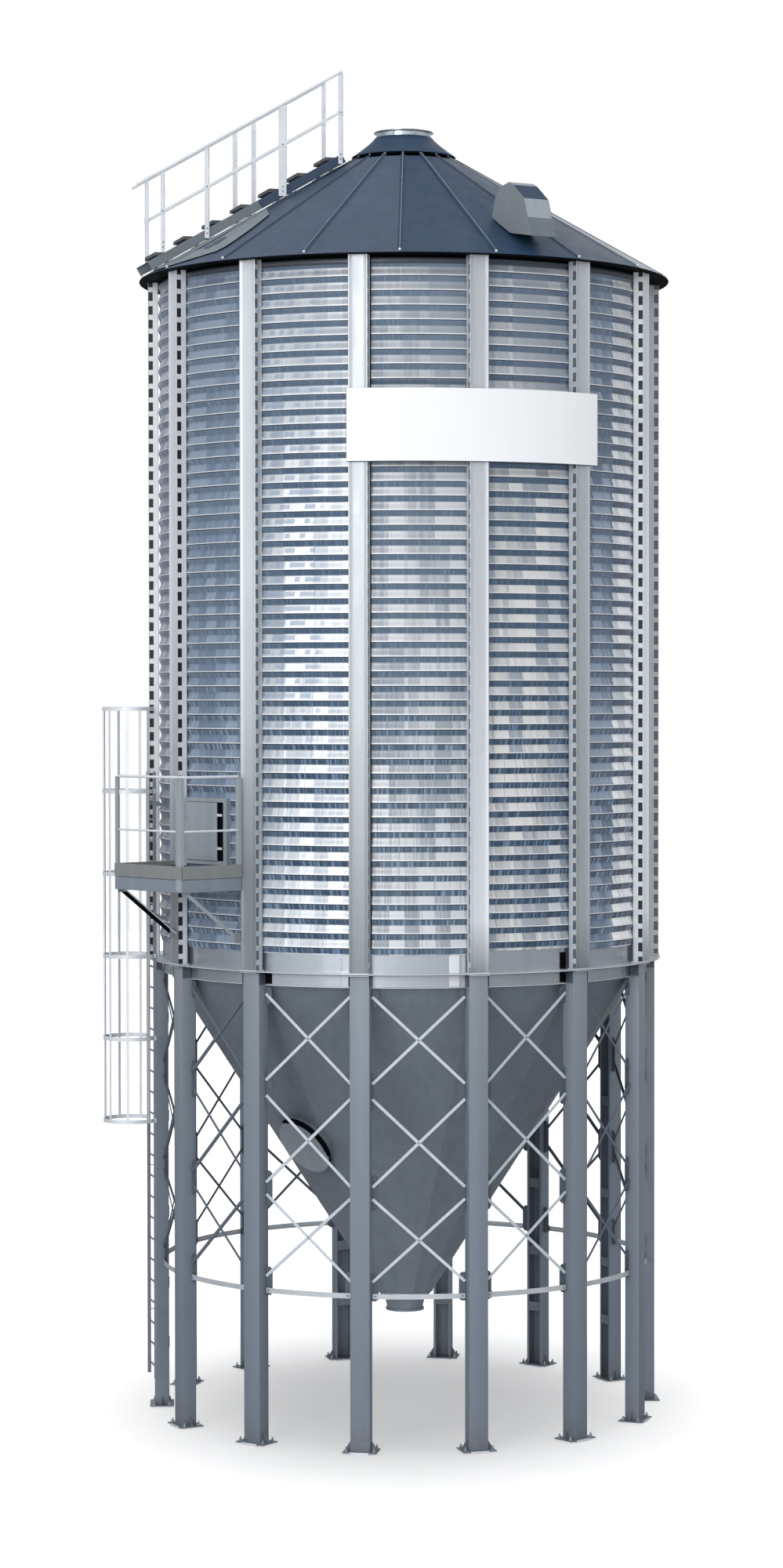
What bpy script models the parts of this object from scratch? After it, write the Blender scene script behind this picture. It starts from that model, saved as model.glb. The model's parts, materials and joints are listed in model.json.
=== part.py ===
"""Cone-bottom silo on fourteen legs, in metres, +Z up.

The silo's own axis stands at (AXIS_X, AXIS_Y); the origin is the centre of
the whole object's footprint at ground level.  Angles are measured from -Y
towards +X, seen from above, in degrees.
"""
import math

import bmesh
import bpy
from mathutils import Matrix, Vector

# ---------------------------------------------------------------- dimensions
N_LEGS = 14
STEP = 360.0 / N_LEGS
THETA_0 = -9.683            # leg 1
AXIS_X = 0.2057             # silo axis from the origin
AXIS_Y = 0.0000
GAP = 0.0003                # between touching pieces

LEG_FACE_R = 3.157          # outer face of a leg
LEG_W, LEG_D = 0.235, 0.180
LEG_TOP = 5.650
BASE_W, BASE_D, BASE_T = 0.410, 0.300, 0.030

RING_Z0, RING_Z1 = 5.490, 5.880     # skirt band of the ring beam
RING_R_IN, RING_R_OUT = 2.840, 3.040
FLANGE_Z, FLANGE_T, FLANGE_R = 5.6503, 0.015, 3.215

WALL_Z0, WALL_Z1 = RING_Z1 + GAP, 14.060
WALL_R_IN, WALL_R_OUT = 3.030, 3.080
UP_FACE_R, UP_W = 3.205, 0.230      # wall stiffener
UP_Z1 = 14.0895
UP_Z0 = FLANGE_Z + FLANGE_T + GAP

EAVE_Z0, EAVE_Z1, EAVE_R = 14.0603, 14.090, 3.0455
ROOF_R, ROOF_Z = 3.316, 14.100      # outer edge of the roof
ROOF_TOP_R, ROOF_TOP_Z = 0.640, 15.638
ROOF_T = 0.030
CAP_R0, CAP_Z0, CAP_R1, CAP_Z1 = 0.660, 15.660, 0.360, 15.915
INLET_R, INLET_Z1 = 0.375, 15.988

CONE_R0, CONE_Z0 = 2.970, 5.4897    # hopper, outer corners of its fourteen facets
CONE_R1, CONE_Z1 = 0.360, 1.440
CONE_T = 0.040
OUT_R, OUT_Z0, OUT_Z1 = 0.222, 1.185, 1.4397

HATCH_TH, HATCH_Z, HATCH_R = -46.0, 3.455, 0.385

TIERS = ((4.36, 5.39), (3.14, 4.18), (2.02, 3.00))
TIE_Z, TIE_H = 1.850, 0.062

DOOR_TH, DOOR_Z, DOOR_W, DOOR_H = -50.5, 7.305, 0.680, 0.700

DECK_TH = THETA_0 - 1.5 * STEP      # middle of the platform's bay
DECK_U, DECK_N0, DECK_N1 = 0.650, 3.165, 4.080
DECK_Z, DECK_FASCIA = 6.890, 0.290
RAIL_TOP = 8.000

LADDER_TH, LADDER_R, LADDER_W, LADDER_D = -75.0, 3.222, 0.420, 0.045
LADDER_Z0, LADDER_Z1 = 0.500, 8.000
CAGE_R, CAGE_Z = 0.345, (3.700, 4.717, 5.732, 6.747, 7.762, 8.777)

STAIR_TH, STAIR_W = -74.0, 0.640
STAIR_R0, STAIR_R1 = 3.290, 0.830
SLOPE = math.atan2(ROOF_TOP_Z - ROOF_Z, ROOF_R - ROOF_TOP_R)

HOOD_TH, HOOD_W = 30.0, 0.345
HOOD_OUTLINE = ((2.400, 14.648), (2.560, 14.550), (2.820, 14.408), (3.270, 14.330),
                (3.210, 14.556), (3.130, 14.788), (2.880, 14.976), (2.790, 15.020),
                (2.600, 14.985), (2.480, 14.880), (2.436, 14.765))

SIGN_TH0, SIGN_TH1 = -12.0, 45.6
SIGN_Z0, SIGN_Z1, SIGN_R, SIGN_T = 11.670, 12.528, 3.212, 0.020

# ------------------------------------------------------------------ the scene
for _o in list(bpy.data.objects):
    bpy.data.objects.remove(_o, do_unlink=True)

PARTS = bpy.data.collections.new("cone_bottom_silo")
CUTTERS = bpy.data.collections.new("cutters")
for _c in (PARTS, CUTTERS):
    bpy.context.scene.collection.children.link(_c)

MATS = {}


def material(name, colour, rough, metal):
    m = bpy.data.materials.new(name)
    m.use_nodes = True
    b = m.node_tree.nodes["Principled BSDF"]
    b.inputs["Base Color"].default_value = (*colour, 1.0)
    b.inputs["Roughness"].default_value = rough
    b.inputs["Metallic"].default_value = metal
    MATS[name] = m


material("slate_steel", (0.165, 0.200, 0.245), 0.45, 0.4)
material("galvanised", (0.560, 0.580, 0.600), 0.32, 0.9)
material("galvanised_frame", (0.540, 0.555, 0.570), 0.45, 0.7)
material("roof_sheet", (0.075, 0.110, 0.170), 0.40, 0.5)
material("hopper_sheet", (0.130, 0.155, 0.185), 0.45, 0.5)
material("platform_steel", (0.300, 0.325, 0.340), 0.50, 0.5)
material("ladder_steel", (0.560, 0.580, 0.600), 0.40, 0.8)
material("white_board", (0.860, 0.870, 0.880), 0.40, 0.0)
material("dark_tread", (0.110, 0.120, 0.130), 0.60, 0.3)


# ------------------------------------------------------------------- helpers
def radial(theta, r=0.0, z=0.0):
    """Frame at an angle: local X outward, local Y towards larger angles."""
    return (Matrix.Rotation(math.radians(theta - 90.0), 4, "Z")
            @ Matrix.Translation((r, 0.0, z)))


def mesh_object(name, mesh, coll=None):
    o = bpy.data.objects.new(name, mesh)
    (coll or PARTS).objects.link(o)
    return o


def from_bm(name, bm, coll=None):
    bmesh.ops.recalc_face_normals(bm, faces=bm.faces)
    me = bpy.data.meshes.new(name)
    bm.to_mesh(me)
    bm.free()
    return mesh_object(name, me, coll)


def cube(bm, size, at=(0, 0, 0), rot=None, frame=None):
    m = Matrix.Translation(at)
    if rot is not None:
        m = m @ rot
    if frame is not None:
        m = frame @ m
    bmesh.ops.create_cube(bm, size=1.0, matrix=m @ Matrix.Diagonal((*size, 1.0)))


def bar(bm, a, b, w, t, side=(0, 1, 0), frame=None):
    """A rectangular bar from a to b, w wide, t thick along side."""
    a, b, side = Vector(a), Vector(b), Vector(side).normalized()
    x = (b - a).normalized()
    y = (side - x * side.dot(x)).normalized()
    z = x.cross(y)
    rot = Matrix((x, y, z)).transposed().to_4x4()
    cube(bm, ((b - a).length, t, w), (a + b) / 2, rot, frame)


def boxes(name, items, coll=None):
    """Several cubes that don't touch, as one object."""
    bm = bmesh.new()
    for kind, args in items:
        (cube if kind == "cube" else bar)(bm, *args[0], **args[1])
    return from_bm(name, bm, coll)


def C(*a, **k):
    return ("cube", (a, k))


def B(*a, **k):
    return ("bar", (a, k))


def settle(o):
    """Replace an object's mesh by its evaluated one, faces pointing out."""
    bpy.context.view_layer.update()
    dg = bpy.context.evaluated_depsgraph_get()
    me = bpy.data.meshes.new_from_object(o.evaluated_get(dg))
    o.modifiers.clear()
    o.data = me
    bm = bmesh.new()
    bm.from_mesh(me)
    bmesh.ops.remove_doubles(bm, verts=bm.verts, dist=0.00002)
    bmesh.ops.dissolve_degenerate(bm, edges=bm.edges, dist=0.00002)
    bmesh.ops.recalc_face_normals(bm, faces=bm.faces)
    bm.to_mesh(me)
    bm.free()
    return o


def combine(o, others, op="UNION"):
    for c in others:
        m = o.modifiers.new(op.lower(), "BOOLEAN")
        m.operation = op
        m.solver = "EXACT"
        m.object = c
    settle(o)
    for c in others:
        bpy.data.objects.remove(c, do_unlink=True)
    return o


def turned(name, profile, steps=56, closed=True, coll=None):
    """A profile of (r, z) turned about the axis."""
    me = bpy.data.meshes.new(name)
    n = len(profile)
    edges = [(i, i + 1) for i in range(n - 1)] + ([(n - 1, 0)] if closed else [])
    me.from_pydata([(r, 0, z) for r, z in profile], edges, [])
    o = mesh_object(name, me, coll)
    s = o.modifiers.new("turn", "SCREW")
    s.steps = s.render_steps = steps
    s.angle = 2 * math.pi
    s.use_merge_vertices = True
    s.merge_threshold = 0.00005
    return settle(o)


def arc_plate(name, r_in, r_out, z0, z1, a0, a1, steps, coll=None):
    """A curved plate: a rectangle spun about the axis from a0 to a1."""
    bm = bmesh.new()
    f = radial(a0)
    vs = [bm.verts.new(f @ Vector((r, 0, z))) for r, z in
          ((r_in, z0), (r_out, z0), (r_out, z1), (r_in, z1))]
    es = [bm.edges.new((vs[i], vs[(i + 1) % 4])) for i in range(4)]
    out = bmesh.ops.spin(bm, geom=vs + es, cent=(0, 0, 0), axis=(0, 0, 1), dvec=(0, 0, 0),
                         angle=math.radians(a1 - a0), steps=steps, use_merge=False,
                         use_normal_flip=False, use_duplicate=False)
    last = [g for g in out["geom_last"] if isinstance(g, bmesh.types.BMEdge)]
    bmesh.ops.edgeloop_fill(bm, edges=es)
    bmesh.ops.edgeloop_fill(bm, edges=last)
    o = from_bm(name, bm, coll)
    return settle(o)


def place(o, theta):
    o.rotation_euler = (0, 0, math.radians(theta - 90.0))
    return o


def finish(o, mat, smooth=False):
    o.data.materials.clear()
    o.data.materials.append(MATS[mat])
    if smooth:
        o.data.shade_smooth()
        o.data.set_sharp_from_angle(angle=math.radians(30))
    return o


def leg_angle(k):
    return THETA_0 + STEP * k


# ---------------------------------------------------------------------- legs
leg_z1 = RING_Z0 - GAP                              # the head is notched for the band
leg = boxes("leg_01", [C((LEG_D, LEG_W, leg_z1 - BASE_T * 0.5),
                         (LEG_FACE_R - LEG_D / 2, 0, (leg_z1 + BASE_T * 0.5) / 2))])
foot = boxes("foot", [C((BASE_D, BASE_W, BASE_T), (LEG_FACE_R - LEG_D / 2, 0, BASE_T / 2))], CUTTERS)
head_in = RING_R_OUT + 0.004
head = boxes("head", [C((LEG_FACE_R - 0.001 - head_in, LEG_W - 0.002, LEG_TOP - 5.300),
                        ((LEG_FACE_R - 0.001 + head_in) / 2, 0, (LEG_TOP + 5.300) / 2))], CUTTERS)
combine(leg, [foot, head])
for k in range(N_LEGS):
    o = leg if k == 0 else mesh_object("leg_%02d" % (k + 1), leg.data)
    place(o, leg_angle(k))
finish(leg, "slate_steel")

# ------------------------------------------------------------------- bracing
half = math.radians(STEP / 2)
MID_R = (LEG_FACE_R - LEG_D / 2)
bay_n = MID_R * math.cos(half)                      # chord's distance
bay_u = MID_R * math.sin(half)                      # half the chord
clear = bay_u - (LEG_W / 2) / math.cos(half) - 0.010    # to the legs' sides
be = clear - 0.014
rising, falling, plates = [], [], []
for z0, z1 in TIERS:
    rising.append(B((bay_n, -be, z0), (bay_n, be, z1), 0.044, 0.012, side=(1, 0, 0)))
    falling.append(B((bay_n, -be, z1), (bay_n, be, z0), 0.044, 0.018, side=(1, 0, 0)))
for s in (-1, 1):
    for z0, z1 in ((5.26, 5.47), (4.05, 4.49), (2.87, 3.27), (1.80, 2.15)):
        plates.append(C((0.024, 0.080, z1 - z0), (bay_n, s * (clear - 0.040), (z0 + z1) / 2)))
tie = arc_plate("tie", 3.028, 3.046, TIE_Z - TIE_H / 2, TIE_Z + TIE_H / 2, 90 - 10.30, 90 + 10.30, 8, CUTTERS)
bay = boxes("bracing_bay_01", rising)
combine(bay, [boxes("fall", falling, CUTTERS), boxes("plates", plates, CUTTERS), tie])
for k in range(N_LEGS):
    o = bay if k == 0 else mesh_object("bracing_bay_%02d" % (k + 1), bay.data)
    place(o, leg_angle(k + 0.5))
finish(bay, "galvanised_frame")

# ----------------------------------------------------------------- ring beam
ring = turned("ring_beam", [
    (RING_R_OUT, RING_Z1), (RING_R_OUT, FLANGE_Z + FLANGE_T), (FLANGE_R, FLANGE_Z + FLANGE_T),
    (FLANGE_R, FLANGE_Z), (RING_R_OUT, FLANGE_Z), (RING_R_OUT, RING_Z0),
    (RING_R_IN, RING_Z0), (RING_R_IN, RING_Z1)])
finish(ring, "galvanised", True)

# --------------------------------------------------------------------- walls
def door_frame_matrix():
    return radial(DOOR_TH)


for i in range(7):
    k = 2 * i - 2
    a0 = leg_angle(k) - 2.30
    a1 = leg_angle(k + 2) - 2.30 - 0.006
    w = arc_plate("wall_panel_%02d" % (i + 1), WALL_R_IN, WALL_R_OUT, WALL_Z0, WALL_Z1, a0, a1, 8)
    ups = []
    for j in (0, 1):
        f = radial(leg_angle(k + j))
        # the stiffener: a deep bar above the band, a shallow one in front of it
        ups.append(C((UP_FACE_R - 3.050, UP_W, UP_Z1 - UP_Z0),
                     ((UP_FACE_R + 3.050) / 2, 0, (UP_Z1 + UP_Z0) / 2), frame=f))
    combine(w, [boxes("ups", ups, CUTTERS)])
    if i == 0:
        cut = boxes("doorway", [C((0.5, DOOR_W + 0.160, DOOR_H + 0.100), (3.05, 0, DOOR_Z),
                                  frame=radial(DOOR_TH))], CUTTERS)
        combine(w, [cut], "DIFFERENCE")
    finish(w, "galvanised", True)

# ---------------------------------------------------------------- door
f = radial(DOOR_TH)
fr = boxes("door_frame", [C((0.115, DOOR_W + 0.1594, DOOR_H + 0.0994), (3.0555, 0, DOOR_Z), frame=f)])
cut = boxes("cut", [C((0.4, DOOR_W - 0.04, DOOR_H - 0.06), (3.05, 0, DOOR_Z), frame=f)], CUTTERS)
finish(combine(fr, [cut], "DIFFERENCE"), "galvanised_frame")
leaf = boxes("access_door", [C((0.030, DOOR_W, DOOR_H), (3.113 + GAP + 0.015, -0.030, DOOR_Z), frame=f)])
finish(leaf, "platform_steel")

# --------------------------------------------------------------------- eave
eave = turned("eave_ring", [(EAVE_R, EAVE_Z1), (EAVE_R, EAVE_Z0), (3.000, EAVE_Z0), (3.000, EAVE_Z1)], 72)
finish(eave, "roof_sheet", True)

t = ROOF_T / math.cos(SLOPE)
roof = turned("roof_cone", [(ROOF_TOP_R, ROOF_TOP_Z), (ROOF_R, ROOF_Z), (ROOF_R, EAVE_Z1 + GAP),
                            (ROOF_R - 0.30, EAVE_Z1 + GAP),
                            (ROOF_R - 0.30, ROOF_Z + 0.30 * math.tan(SLOPE) - t - 0.004),
                            (ROOF_TOP_R, ROOF_TOP_Z - t)], 72)
finish(roof, "roof_sheet", True)

cap = turned("roof_cap", [
    (CAP_R1, CAP_Z1), (CAP_R0, CAP_Z0), (CAP_R0, CAP_Z0 - 0.012), (ROOF_TOP_R - 0.06, CAP_Z0 - 0.012),
    (0.54, CAP_Z0 - 0.10), (0.52, CAP_Z0 - 0.10), (CAP_R1 - 0.030, CAP_Z1)], 48)
finish(cap, "roof_sheet", True)

inlet = turned("inlet_ring", [
    (INLET_R, INLET_Z1), (INLET_R, INLET_Z1 - 0.012), (INLET_R - 0.028, INLET_Z1 - 0.035),
    (INLET_R - 0.028, CAP_Z1 + GAP), (CAP_R1 - 0.029, CAP_Z1 + GAP), (CAP_R1 - 0.029, INLET_Z1)], 48)
finish(inlet, "galvanised", True)
bm = bmesh.new()
bmesh.ops.create_cone(bm, cap_ends=True, segments=48, radius1=CAP_R1 - 0.0305, radius2=CAP_R1 - 0.0305,
                      depth=0.018, matrix=Matrix.Translation((0, 0, CAP_Z1 + 0.020 + GAP + 0.009)))
finish(from_bm("inlet_lid", bm), "galvanised", True)

# -------------------------------------------------------------------- hopper
cone_slope = math.atan2(CONE_Z0 - CONE_Z1, CONE_R0 - CONE_R1)
dt = CONE_T / math.sin(cone_slope)
cone = turned("hopper_cone", [(CONE_R0, CONE_Z0), (CONE_R1, CONE_Z1), (CONE_R1 - dt, CONE_Z1),
                              (CONE_R0 - dt, CONE_Z0)], N_LEGS)
cone.data.transform(radial(THETA_0))                # a corner behind each leg
flat = math.cos(math.pi / N_LEGS) / math.cos(math.radians(HATCH_TH - DECK_TH))
hr = (CONE_R1 + (HATCH_Z - CONE_Z1) / math.tan(cone_slope)) * flat
hatch_f = radial(HATCH_TH, hr, HATCH_Z) @ Matrix.Rotation(math.pi / 2 + (math.pi / 2 - cone_slope), 4, "Y")


def disc(name, r, z0, z1, frame, coll=None, seg=32):
    bm = bmesh.new()
    bmesh.ops.create_cone(bm, cap_ends=True, segments=seg, radius1=r, radius2=r, depth=z1 - z0,
                          matrix=frame @ Matrix.Translation((0, 0, (z0 + z1) / 2)))
    return from_bm(name, bm, coll)


neck = disc("neck", HATCH_R - 0.035, -0.010, 0.110, hatch_f, CUTTERS)
combine(cone, [neck])
bore = disc("bore", HATCH_R - 0.050, -0.20, 0.20, hatch_f, CUTTERS)
combine(cone, [bore], "DIFFERENCE")
finish(cone, "hopper_sheet")
finish(disc("hatch_cover", HATCH_R, 0.110 + GAP, 0.135, hatch_f), "platform_steel", True)

outlet = turned("hopper_outlet", [
    (CONE_R1 - 0.008, OUT_Z1), (OUT_R + 0.023, OUT_Z1 - 0.13), (OUT_R, OUT_Z0 + 0.03),
    (OUT_R + 0.018, OUT_Z0 + 0.03), (OUT_R + 0.018, OUT_Z0), (OUT_R - 0.035, OUT_Z0), (OUT_R - 0.035, OUT_Z1 - 0.13),
    (CONE_R1 - dt, OUT_Z1)], 40)
finish(outlet, "hopper_sheet", True)

# ------------------------------------------------------------------ vent hood
def prism(name, outline, width, frame, coll=None):
    """A flat outline of (r, z), given thickness across its plane."""
    cu = bpy.data.curves.new(name, "CURVE")
    cu.dimensions = "2D"
    cu.fill_mode = "BOTH"
    cu.extrude = width / 2
    cu.resolution_u = 1
    cu.render_resolution_u = 0
    sp = cu.splines.new("POLY")
    sp.points.add(len(outline) - 1)
    for p, (x, y) in zip(sp.points, outline):
        p.co = (x, y, 0, 1)
    sp.use_cyclic_u = True
    tmp = mesh_object(name + "_outline", cu, CUTTERS)
    tmp.matrix_world = frame @ Matrix.Rotation(math.pi / 2, 4, "X")
    bpy.context.view_layer.update()
    dg = bpy.context.evaluated_depsgraph_get()
    me = bpy.data.meshes.new_from_object(tmp.evaluated_get(dg))
    me.transform(tmp.matrix_world)
    bpy.data.objects.remove(tmp, do_unlink=True)
    o = mesh_object(name, me, coll)
    return settle(o)


hood = prism("roof_vent_hood", HOOD_OUTLINE, HOOD_W, radial(HOOD_TH))
inner = ((2.520, 14.610), (2.800, 14.452), (2.850, 14.270), (3.250, 14.270), (3.235, 14.350),
         (3.180, 14.546), (3.105, 14.768), (2.865, 14.948), (2.790, 14.990), (2.610, 14.960),
         (2.505, 14.868), (2.480, 14.765))
combine(hood, [prism("hood_inner", inner, HOOD_W - 0.040, radial(HOOD_TH), CUTTERS)], "DIFFERENCE")
finish(hood, "platform_steel")

# ----------------------------------------------------------------- roof stair
sf = radial(STAIR_TH)


def roof_z(r):
    return ROOF_Z + (ROOF_R - r) * math.tan(SLOPE)


nx, nz = math.sin(SLOPE), math.cos(SLOPE)           # roof normal
up = Vector((nx, 0, nz))


def on_slope(r, h, u):
    """A point h above the roof along its normal, at offset u across it."""
    return Vector((r, u, roof_z(r))) + up * h


strings = [B(on_slope(STAIR_R0, 0.075, s * STAIR_W / 2), on_slope(STAIR_R1, 0.075, s * STAIR_W / 2),
             0.130, 0.040, side=(0, 1, 0), frame=sf) for s in (-1, 1)]
stair = boxes("roof_stair", strings)
treads = []
n_treads = 7
for i in range(n_treads):
    r = STAIR_R0 - 0.16 - i * 0.360
    treads.append(C((0.230, STAIR_W - 0.02, 0.045), (r, 0, roof_z(r) + 0.135), frame=sf))
combine(stair, [boxes("treads", treads, CUTTERS)])
finish(stair, "dark_tread")

RAIL_H = 0.985
for name, s, posts in (("stair_railing_near", 1, (3.165, 2.61, 1.655, 0.914)),
                       ("stair_railing_far", -1, (3.215, 2.09, 1.85, 0.945))):
    u = s * (STAIR_W / 2 + 0.020 + 0.020 + GAP)
    rail_lo, rail_hi = 3.485 if s > 0 else 3.40, min(posts) - 0.02

    def rz(r):
        return roof_z(r) + 0.165 + RAIL_H + 0.02

    rails = [B((rail_lo, u, rz(rail_lo)), (rail_hi, u, rz(rail_hi)), 0.045, 0.038, side=(0, 1, 0), frame=sf),
             B((max(posts) + 0.02, u, rz(max(posts)) - 0.50), (rail_hi, u, rz(rail_hi) - 0.50),
               0.034, 0.028, side=(0, 1, 0), frame=sf)]
    ro = boxes(name, rails)
    ps = [C((0.046, 0.0395, rz(r) - (roof_z(r) + 0.03) - 0.005),
            (r, u, (rz(r) - 0.005 + roof_z(r) + 0.03) / 2), frame=sf) for r in posts]
    combine(ro, [boxes("posts", ps, CUTTERS)])
    finish(ro, "ladder_steel")

# ------------------------------------------------------------------- platform
pf = radial(DECK_TH)
dn = DECK_N1 - DECK_N0
deck = boxes("access_platform", [C((dn, 2 * DECK_U, 0.040), ((DECK_N0 + DECK_N1) / 2, 0, DECK_Z - 0.020), frame=pf)])
fz = DECK_Z - DECK_FASCIA / 2 - 0.010
fascia = [C((0.040, 2 * DECK_U - 0.002, DECK_FASCIA - 0.020), (DECK_N1 - 0.021, 0, fz), frame=pf)]
sides = [C((dn - 0.0012, 0.040, DECK_FASCIA - 0.030), ((DECK_N0 + DECK_N1) / 2 - 0.0005, s * (DECK_U - 0.022), fz),
           frame=pf) for s in (-1, 1)]
zb = DECK_Z - DECK_FASCIA + 0.03
strut = []
for s in (-1, 1):
    a = Vector((DECK_N1 - 0.06, s * (DECK_U - 0.022), zb + 0.02))
    b = Vector((DECK_N0 + 0.035, s * (DECK_U - 0.022), 6.02))
    strut.append(B(a, b, 0.050, 0.034, side=(0, 1, 0), frame=pf))
feet = [C((0.030, 0.110, 0.200), (DECK_N0 + 0.020, s * (DECK_U - 0.022), 6.04), frame=pf) for s in (-1, 1)]
combine(deck, [boxes("fascia", fascia, CUTTERS), boxes("sides", sides, CUTTERS),
               boxes("struts", strut, CUTTERS), boxes("feet", feet, CUTTERS)])
finish(deck, "platform_steel")

# the railing closes the outer side and the side away from the ladder
pu, pn0, pn1 = DECK_U - 0.030, DECK_N0 + 0.04, DECK_N1 - 0.030
zt, zm = RAIL_TOP - 0.022, 7.340
rails = []
for z, w in ((zt, 0.044), (zm, 0.034)):
    rails.append(C((0.034, 2 * pu, w), (pn1, 0, z), frame=pf))
railing = boxes("platform_railing", rails)
side_rails = []
for z, w in ((zt, 0.0442), (zm, 0.0342)):
    side_rails.append(C((pn1 - pn0, 0.034, w), ((pn0 + pn1) / 2, pu, z), frame=pf))
p0 = DECK_Z + GAP
posts = [C((0.048, 0.048, zt + 0.015 - p0), (n, u, (zt + 0.015 + p0) / 2), frame=pf)
         for n, u in ((pn1, pu), (pn1, -pu), (pn0, pu))]
combine(railing, [boxes("side_rails", side_rails, CUTTERS), boxes("posts", posts, CUTTERS)])
finish(railing, "ladder_steel")

# --------------------------------------------------------------------- ladder
lf = radial(LADDER_TH)
strings = [C((LADDER_D, 0.020, LADDER_Z1 - LADDER_Z0),
             (LADDER_R + LADDER_D / 2, s * LADDER_W / 2, (LADDER_Z0 + LADDER_Z1) / 2), frame=lf) for s in (-1, 1)]
ladder = boxes("ladder", strings)
rungs = [C((0.028, LADDER_W, 0.028), (LADDER_R + LADDER_D / 2, 0, LADDER_Z0 + 0.15 + 0.26 * i), frame=lf)
         for i in range(int((LADDER_Z1 - LADDER_Z0 - 0.2) / 0.26) + 1)]
combine(ladder, [boxes("rungs", rungs, CUTTERS)])
finish(ladder, "ladder_steel")

# cage: hoops about a centre in front of the ladder, joined by straps
CAGE_C = LADDER_R + LADDER_D + 0.235
hoops, straps = [], []
for z in CAGE_Z:
    hoops.append(z)
me_parts = []
cage = None
for i, z in enumerate(hoops):
    h = arc_plate("hoop_%d" % i, CAGE_R - 0.008, CAGE_R, z - 0.030, z + 0.030, -36.0, 216.0, 20,
                  PARTS if i == 0 else CUTTERS)
    h.data.transform(lf @ Matrix.Translation((CAGE_C, 0, 0)))
    us = LADDER_W / 2 + 0.010 + GAP                 # the hoop's ends lie on the stringers' sides
    bent, flats = [], []
    for s in (-1, 1):
        bent.append(B((CAGE_C - 0.184, s * 0.2905, z), (LADDER_R + 0.034, s * (us + 0.0052), z), 0.058, 0.008,
                      side=(0, 1, 0), frame=lf))
        flats.append(C((0.036, 0.008, 0.0576), (LADDER_R + 0.026, s * (us + 0.004), z), frame=lf))
    combine(h, [boxes("bent", bent, CUTTERS), boxes("flats", flats, CUTTERS)])
    if i == 0:
        cage = h
        cage.name = "ladder_cage"
    else:
        me_parts.append(h)
bm = bmesh.new()
bm.from_mesh(cage.data)
for h in me_parts:
    bm.from_mesh(h.data)
    bpy.data.objects.remove(h, do_unlink=True)
bm.to_mesh(cage.data)
bm.free()
for a in (-31, 15, 60, 90, 120, 162, 209):
    q = math.radians(a - 90)
    straps.append(C((0.008, 0.040, CAGE_Z[-1] - CAGE_Z[0] + 0.055),
                    (CAGE_R - 0.010, 0, (CAGE_Z[0] + CAGE_Z[-1]) / 2),
                    frame=lf @ Matrix.Translation((CAGE_C, 0, 0)) @ Matrix.Rotation(q, 4, "Z")))
combine(cage, [boxes("straps", straps, CUTTERS)])
finish(cage, "ladder_steel")

# ----------------------------------------------------------------- sign board
sign = arc_plate("sign_board", SIGN_R, SIGN_R + SIGN_T, SIGN_Z0, SIGN_Z1, SIGN_TH0, SIGN_TH1, 16)
finish(sign, "white_board", True)

# ----------------------------------------------------- silo axis to the origin
for o in PARTS.objects:
    o.location.x += AXIS_X
    o.location.y += AXIS_Y
bpy.context.view_layer.update()
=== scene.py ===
import json
import math

import bmesh
import bpy
import numpy as np
from mathutils import Matrix, Vector

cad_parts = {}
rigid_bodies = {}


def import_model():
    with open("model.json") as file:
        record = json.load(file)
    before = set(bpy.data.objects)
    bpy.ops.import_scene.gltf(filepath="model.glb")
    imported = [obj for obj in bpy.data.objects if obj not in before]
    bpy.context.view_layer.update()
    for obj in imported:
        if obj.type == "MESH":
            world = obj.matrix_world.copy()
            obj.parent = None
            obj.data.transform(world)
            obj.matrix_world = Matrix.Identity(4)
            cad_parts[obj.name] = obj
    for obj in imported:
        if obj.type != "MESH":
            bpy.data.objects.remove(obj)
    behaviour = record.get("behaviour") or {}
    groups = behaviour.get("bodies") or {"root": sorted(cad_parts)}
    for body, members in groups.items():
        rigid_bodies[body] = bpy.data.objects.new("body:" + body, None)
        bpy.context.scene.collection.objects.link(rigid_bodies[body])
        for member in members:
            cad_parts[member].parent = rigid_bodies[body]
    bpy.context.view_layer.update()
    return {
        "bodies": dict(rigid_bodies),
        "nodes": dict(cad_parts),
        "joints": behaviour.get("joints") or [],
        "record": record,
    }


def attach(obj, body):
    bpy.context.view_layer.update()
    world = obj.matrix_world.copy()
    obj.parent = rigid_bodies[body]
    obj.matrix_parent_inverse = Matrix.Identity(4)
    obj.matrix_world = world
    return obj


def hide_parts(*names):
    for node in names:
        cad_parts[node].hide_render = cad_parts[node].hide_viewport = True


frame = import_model()

# --------------------------------------------------------------- dimensions (m)
AX = 0.2057                     # silo axis
N = 14
STEP = 360.0 / N
TH0 = -9.683
LEG_R, LEG_W, LEG_D = 3.157, 0.235, 0.180
RING_R, RING_Z0, RING_Z1 = 3.040, 5.490, 5.880
FL_Z0, FL_Z1, FL_R = 5.6503, 5.6653, 3.215
WALL_TOP = 14.0590
PITCH, WAVE_R, WAVE_A = 0.1715, 3.0664, 0.0124
CREST = 5.9647                  # height of the lowest crest
UP_R = 3.205
UP_TOP = 14.0885
ROOF_R, ROOF_Z, SLOPE_T = 3.316, 14.100, 1.538 / 2.676
SLOPE = math.atan(SLOPE_T)
SECTORS = 18
ROOF_TH = -0.8                  # one roof rib
CONE_R0, CONE_Z0, CONE_R1, CONE_Z1 = 2.970, 5.4897, 0.360, 1.440
TIERS = ((4.36, 5.39), (3.14, 4.18), (2.02, 3.00))
MID_R = LEG_R - LEG_D / 2
HALF = math.radians(STEP / 2)
BAY_N = MID_R * math.cos(HALF)
BAY_U = MID_R * math.sin(HALF)
CLEAR = BAY_U - (LEG_W / 2) / math.cos(HALF) - 0.010


def leg_angle(k):
    return TH0 + STEP * k


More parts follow.
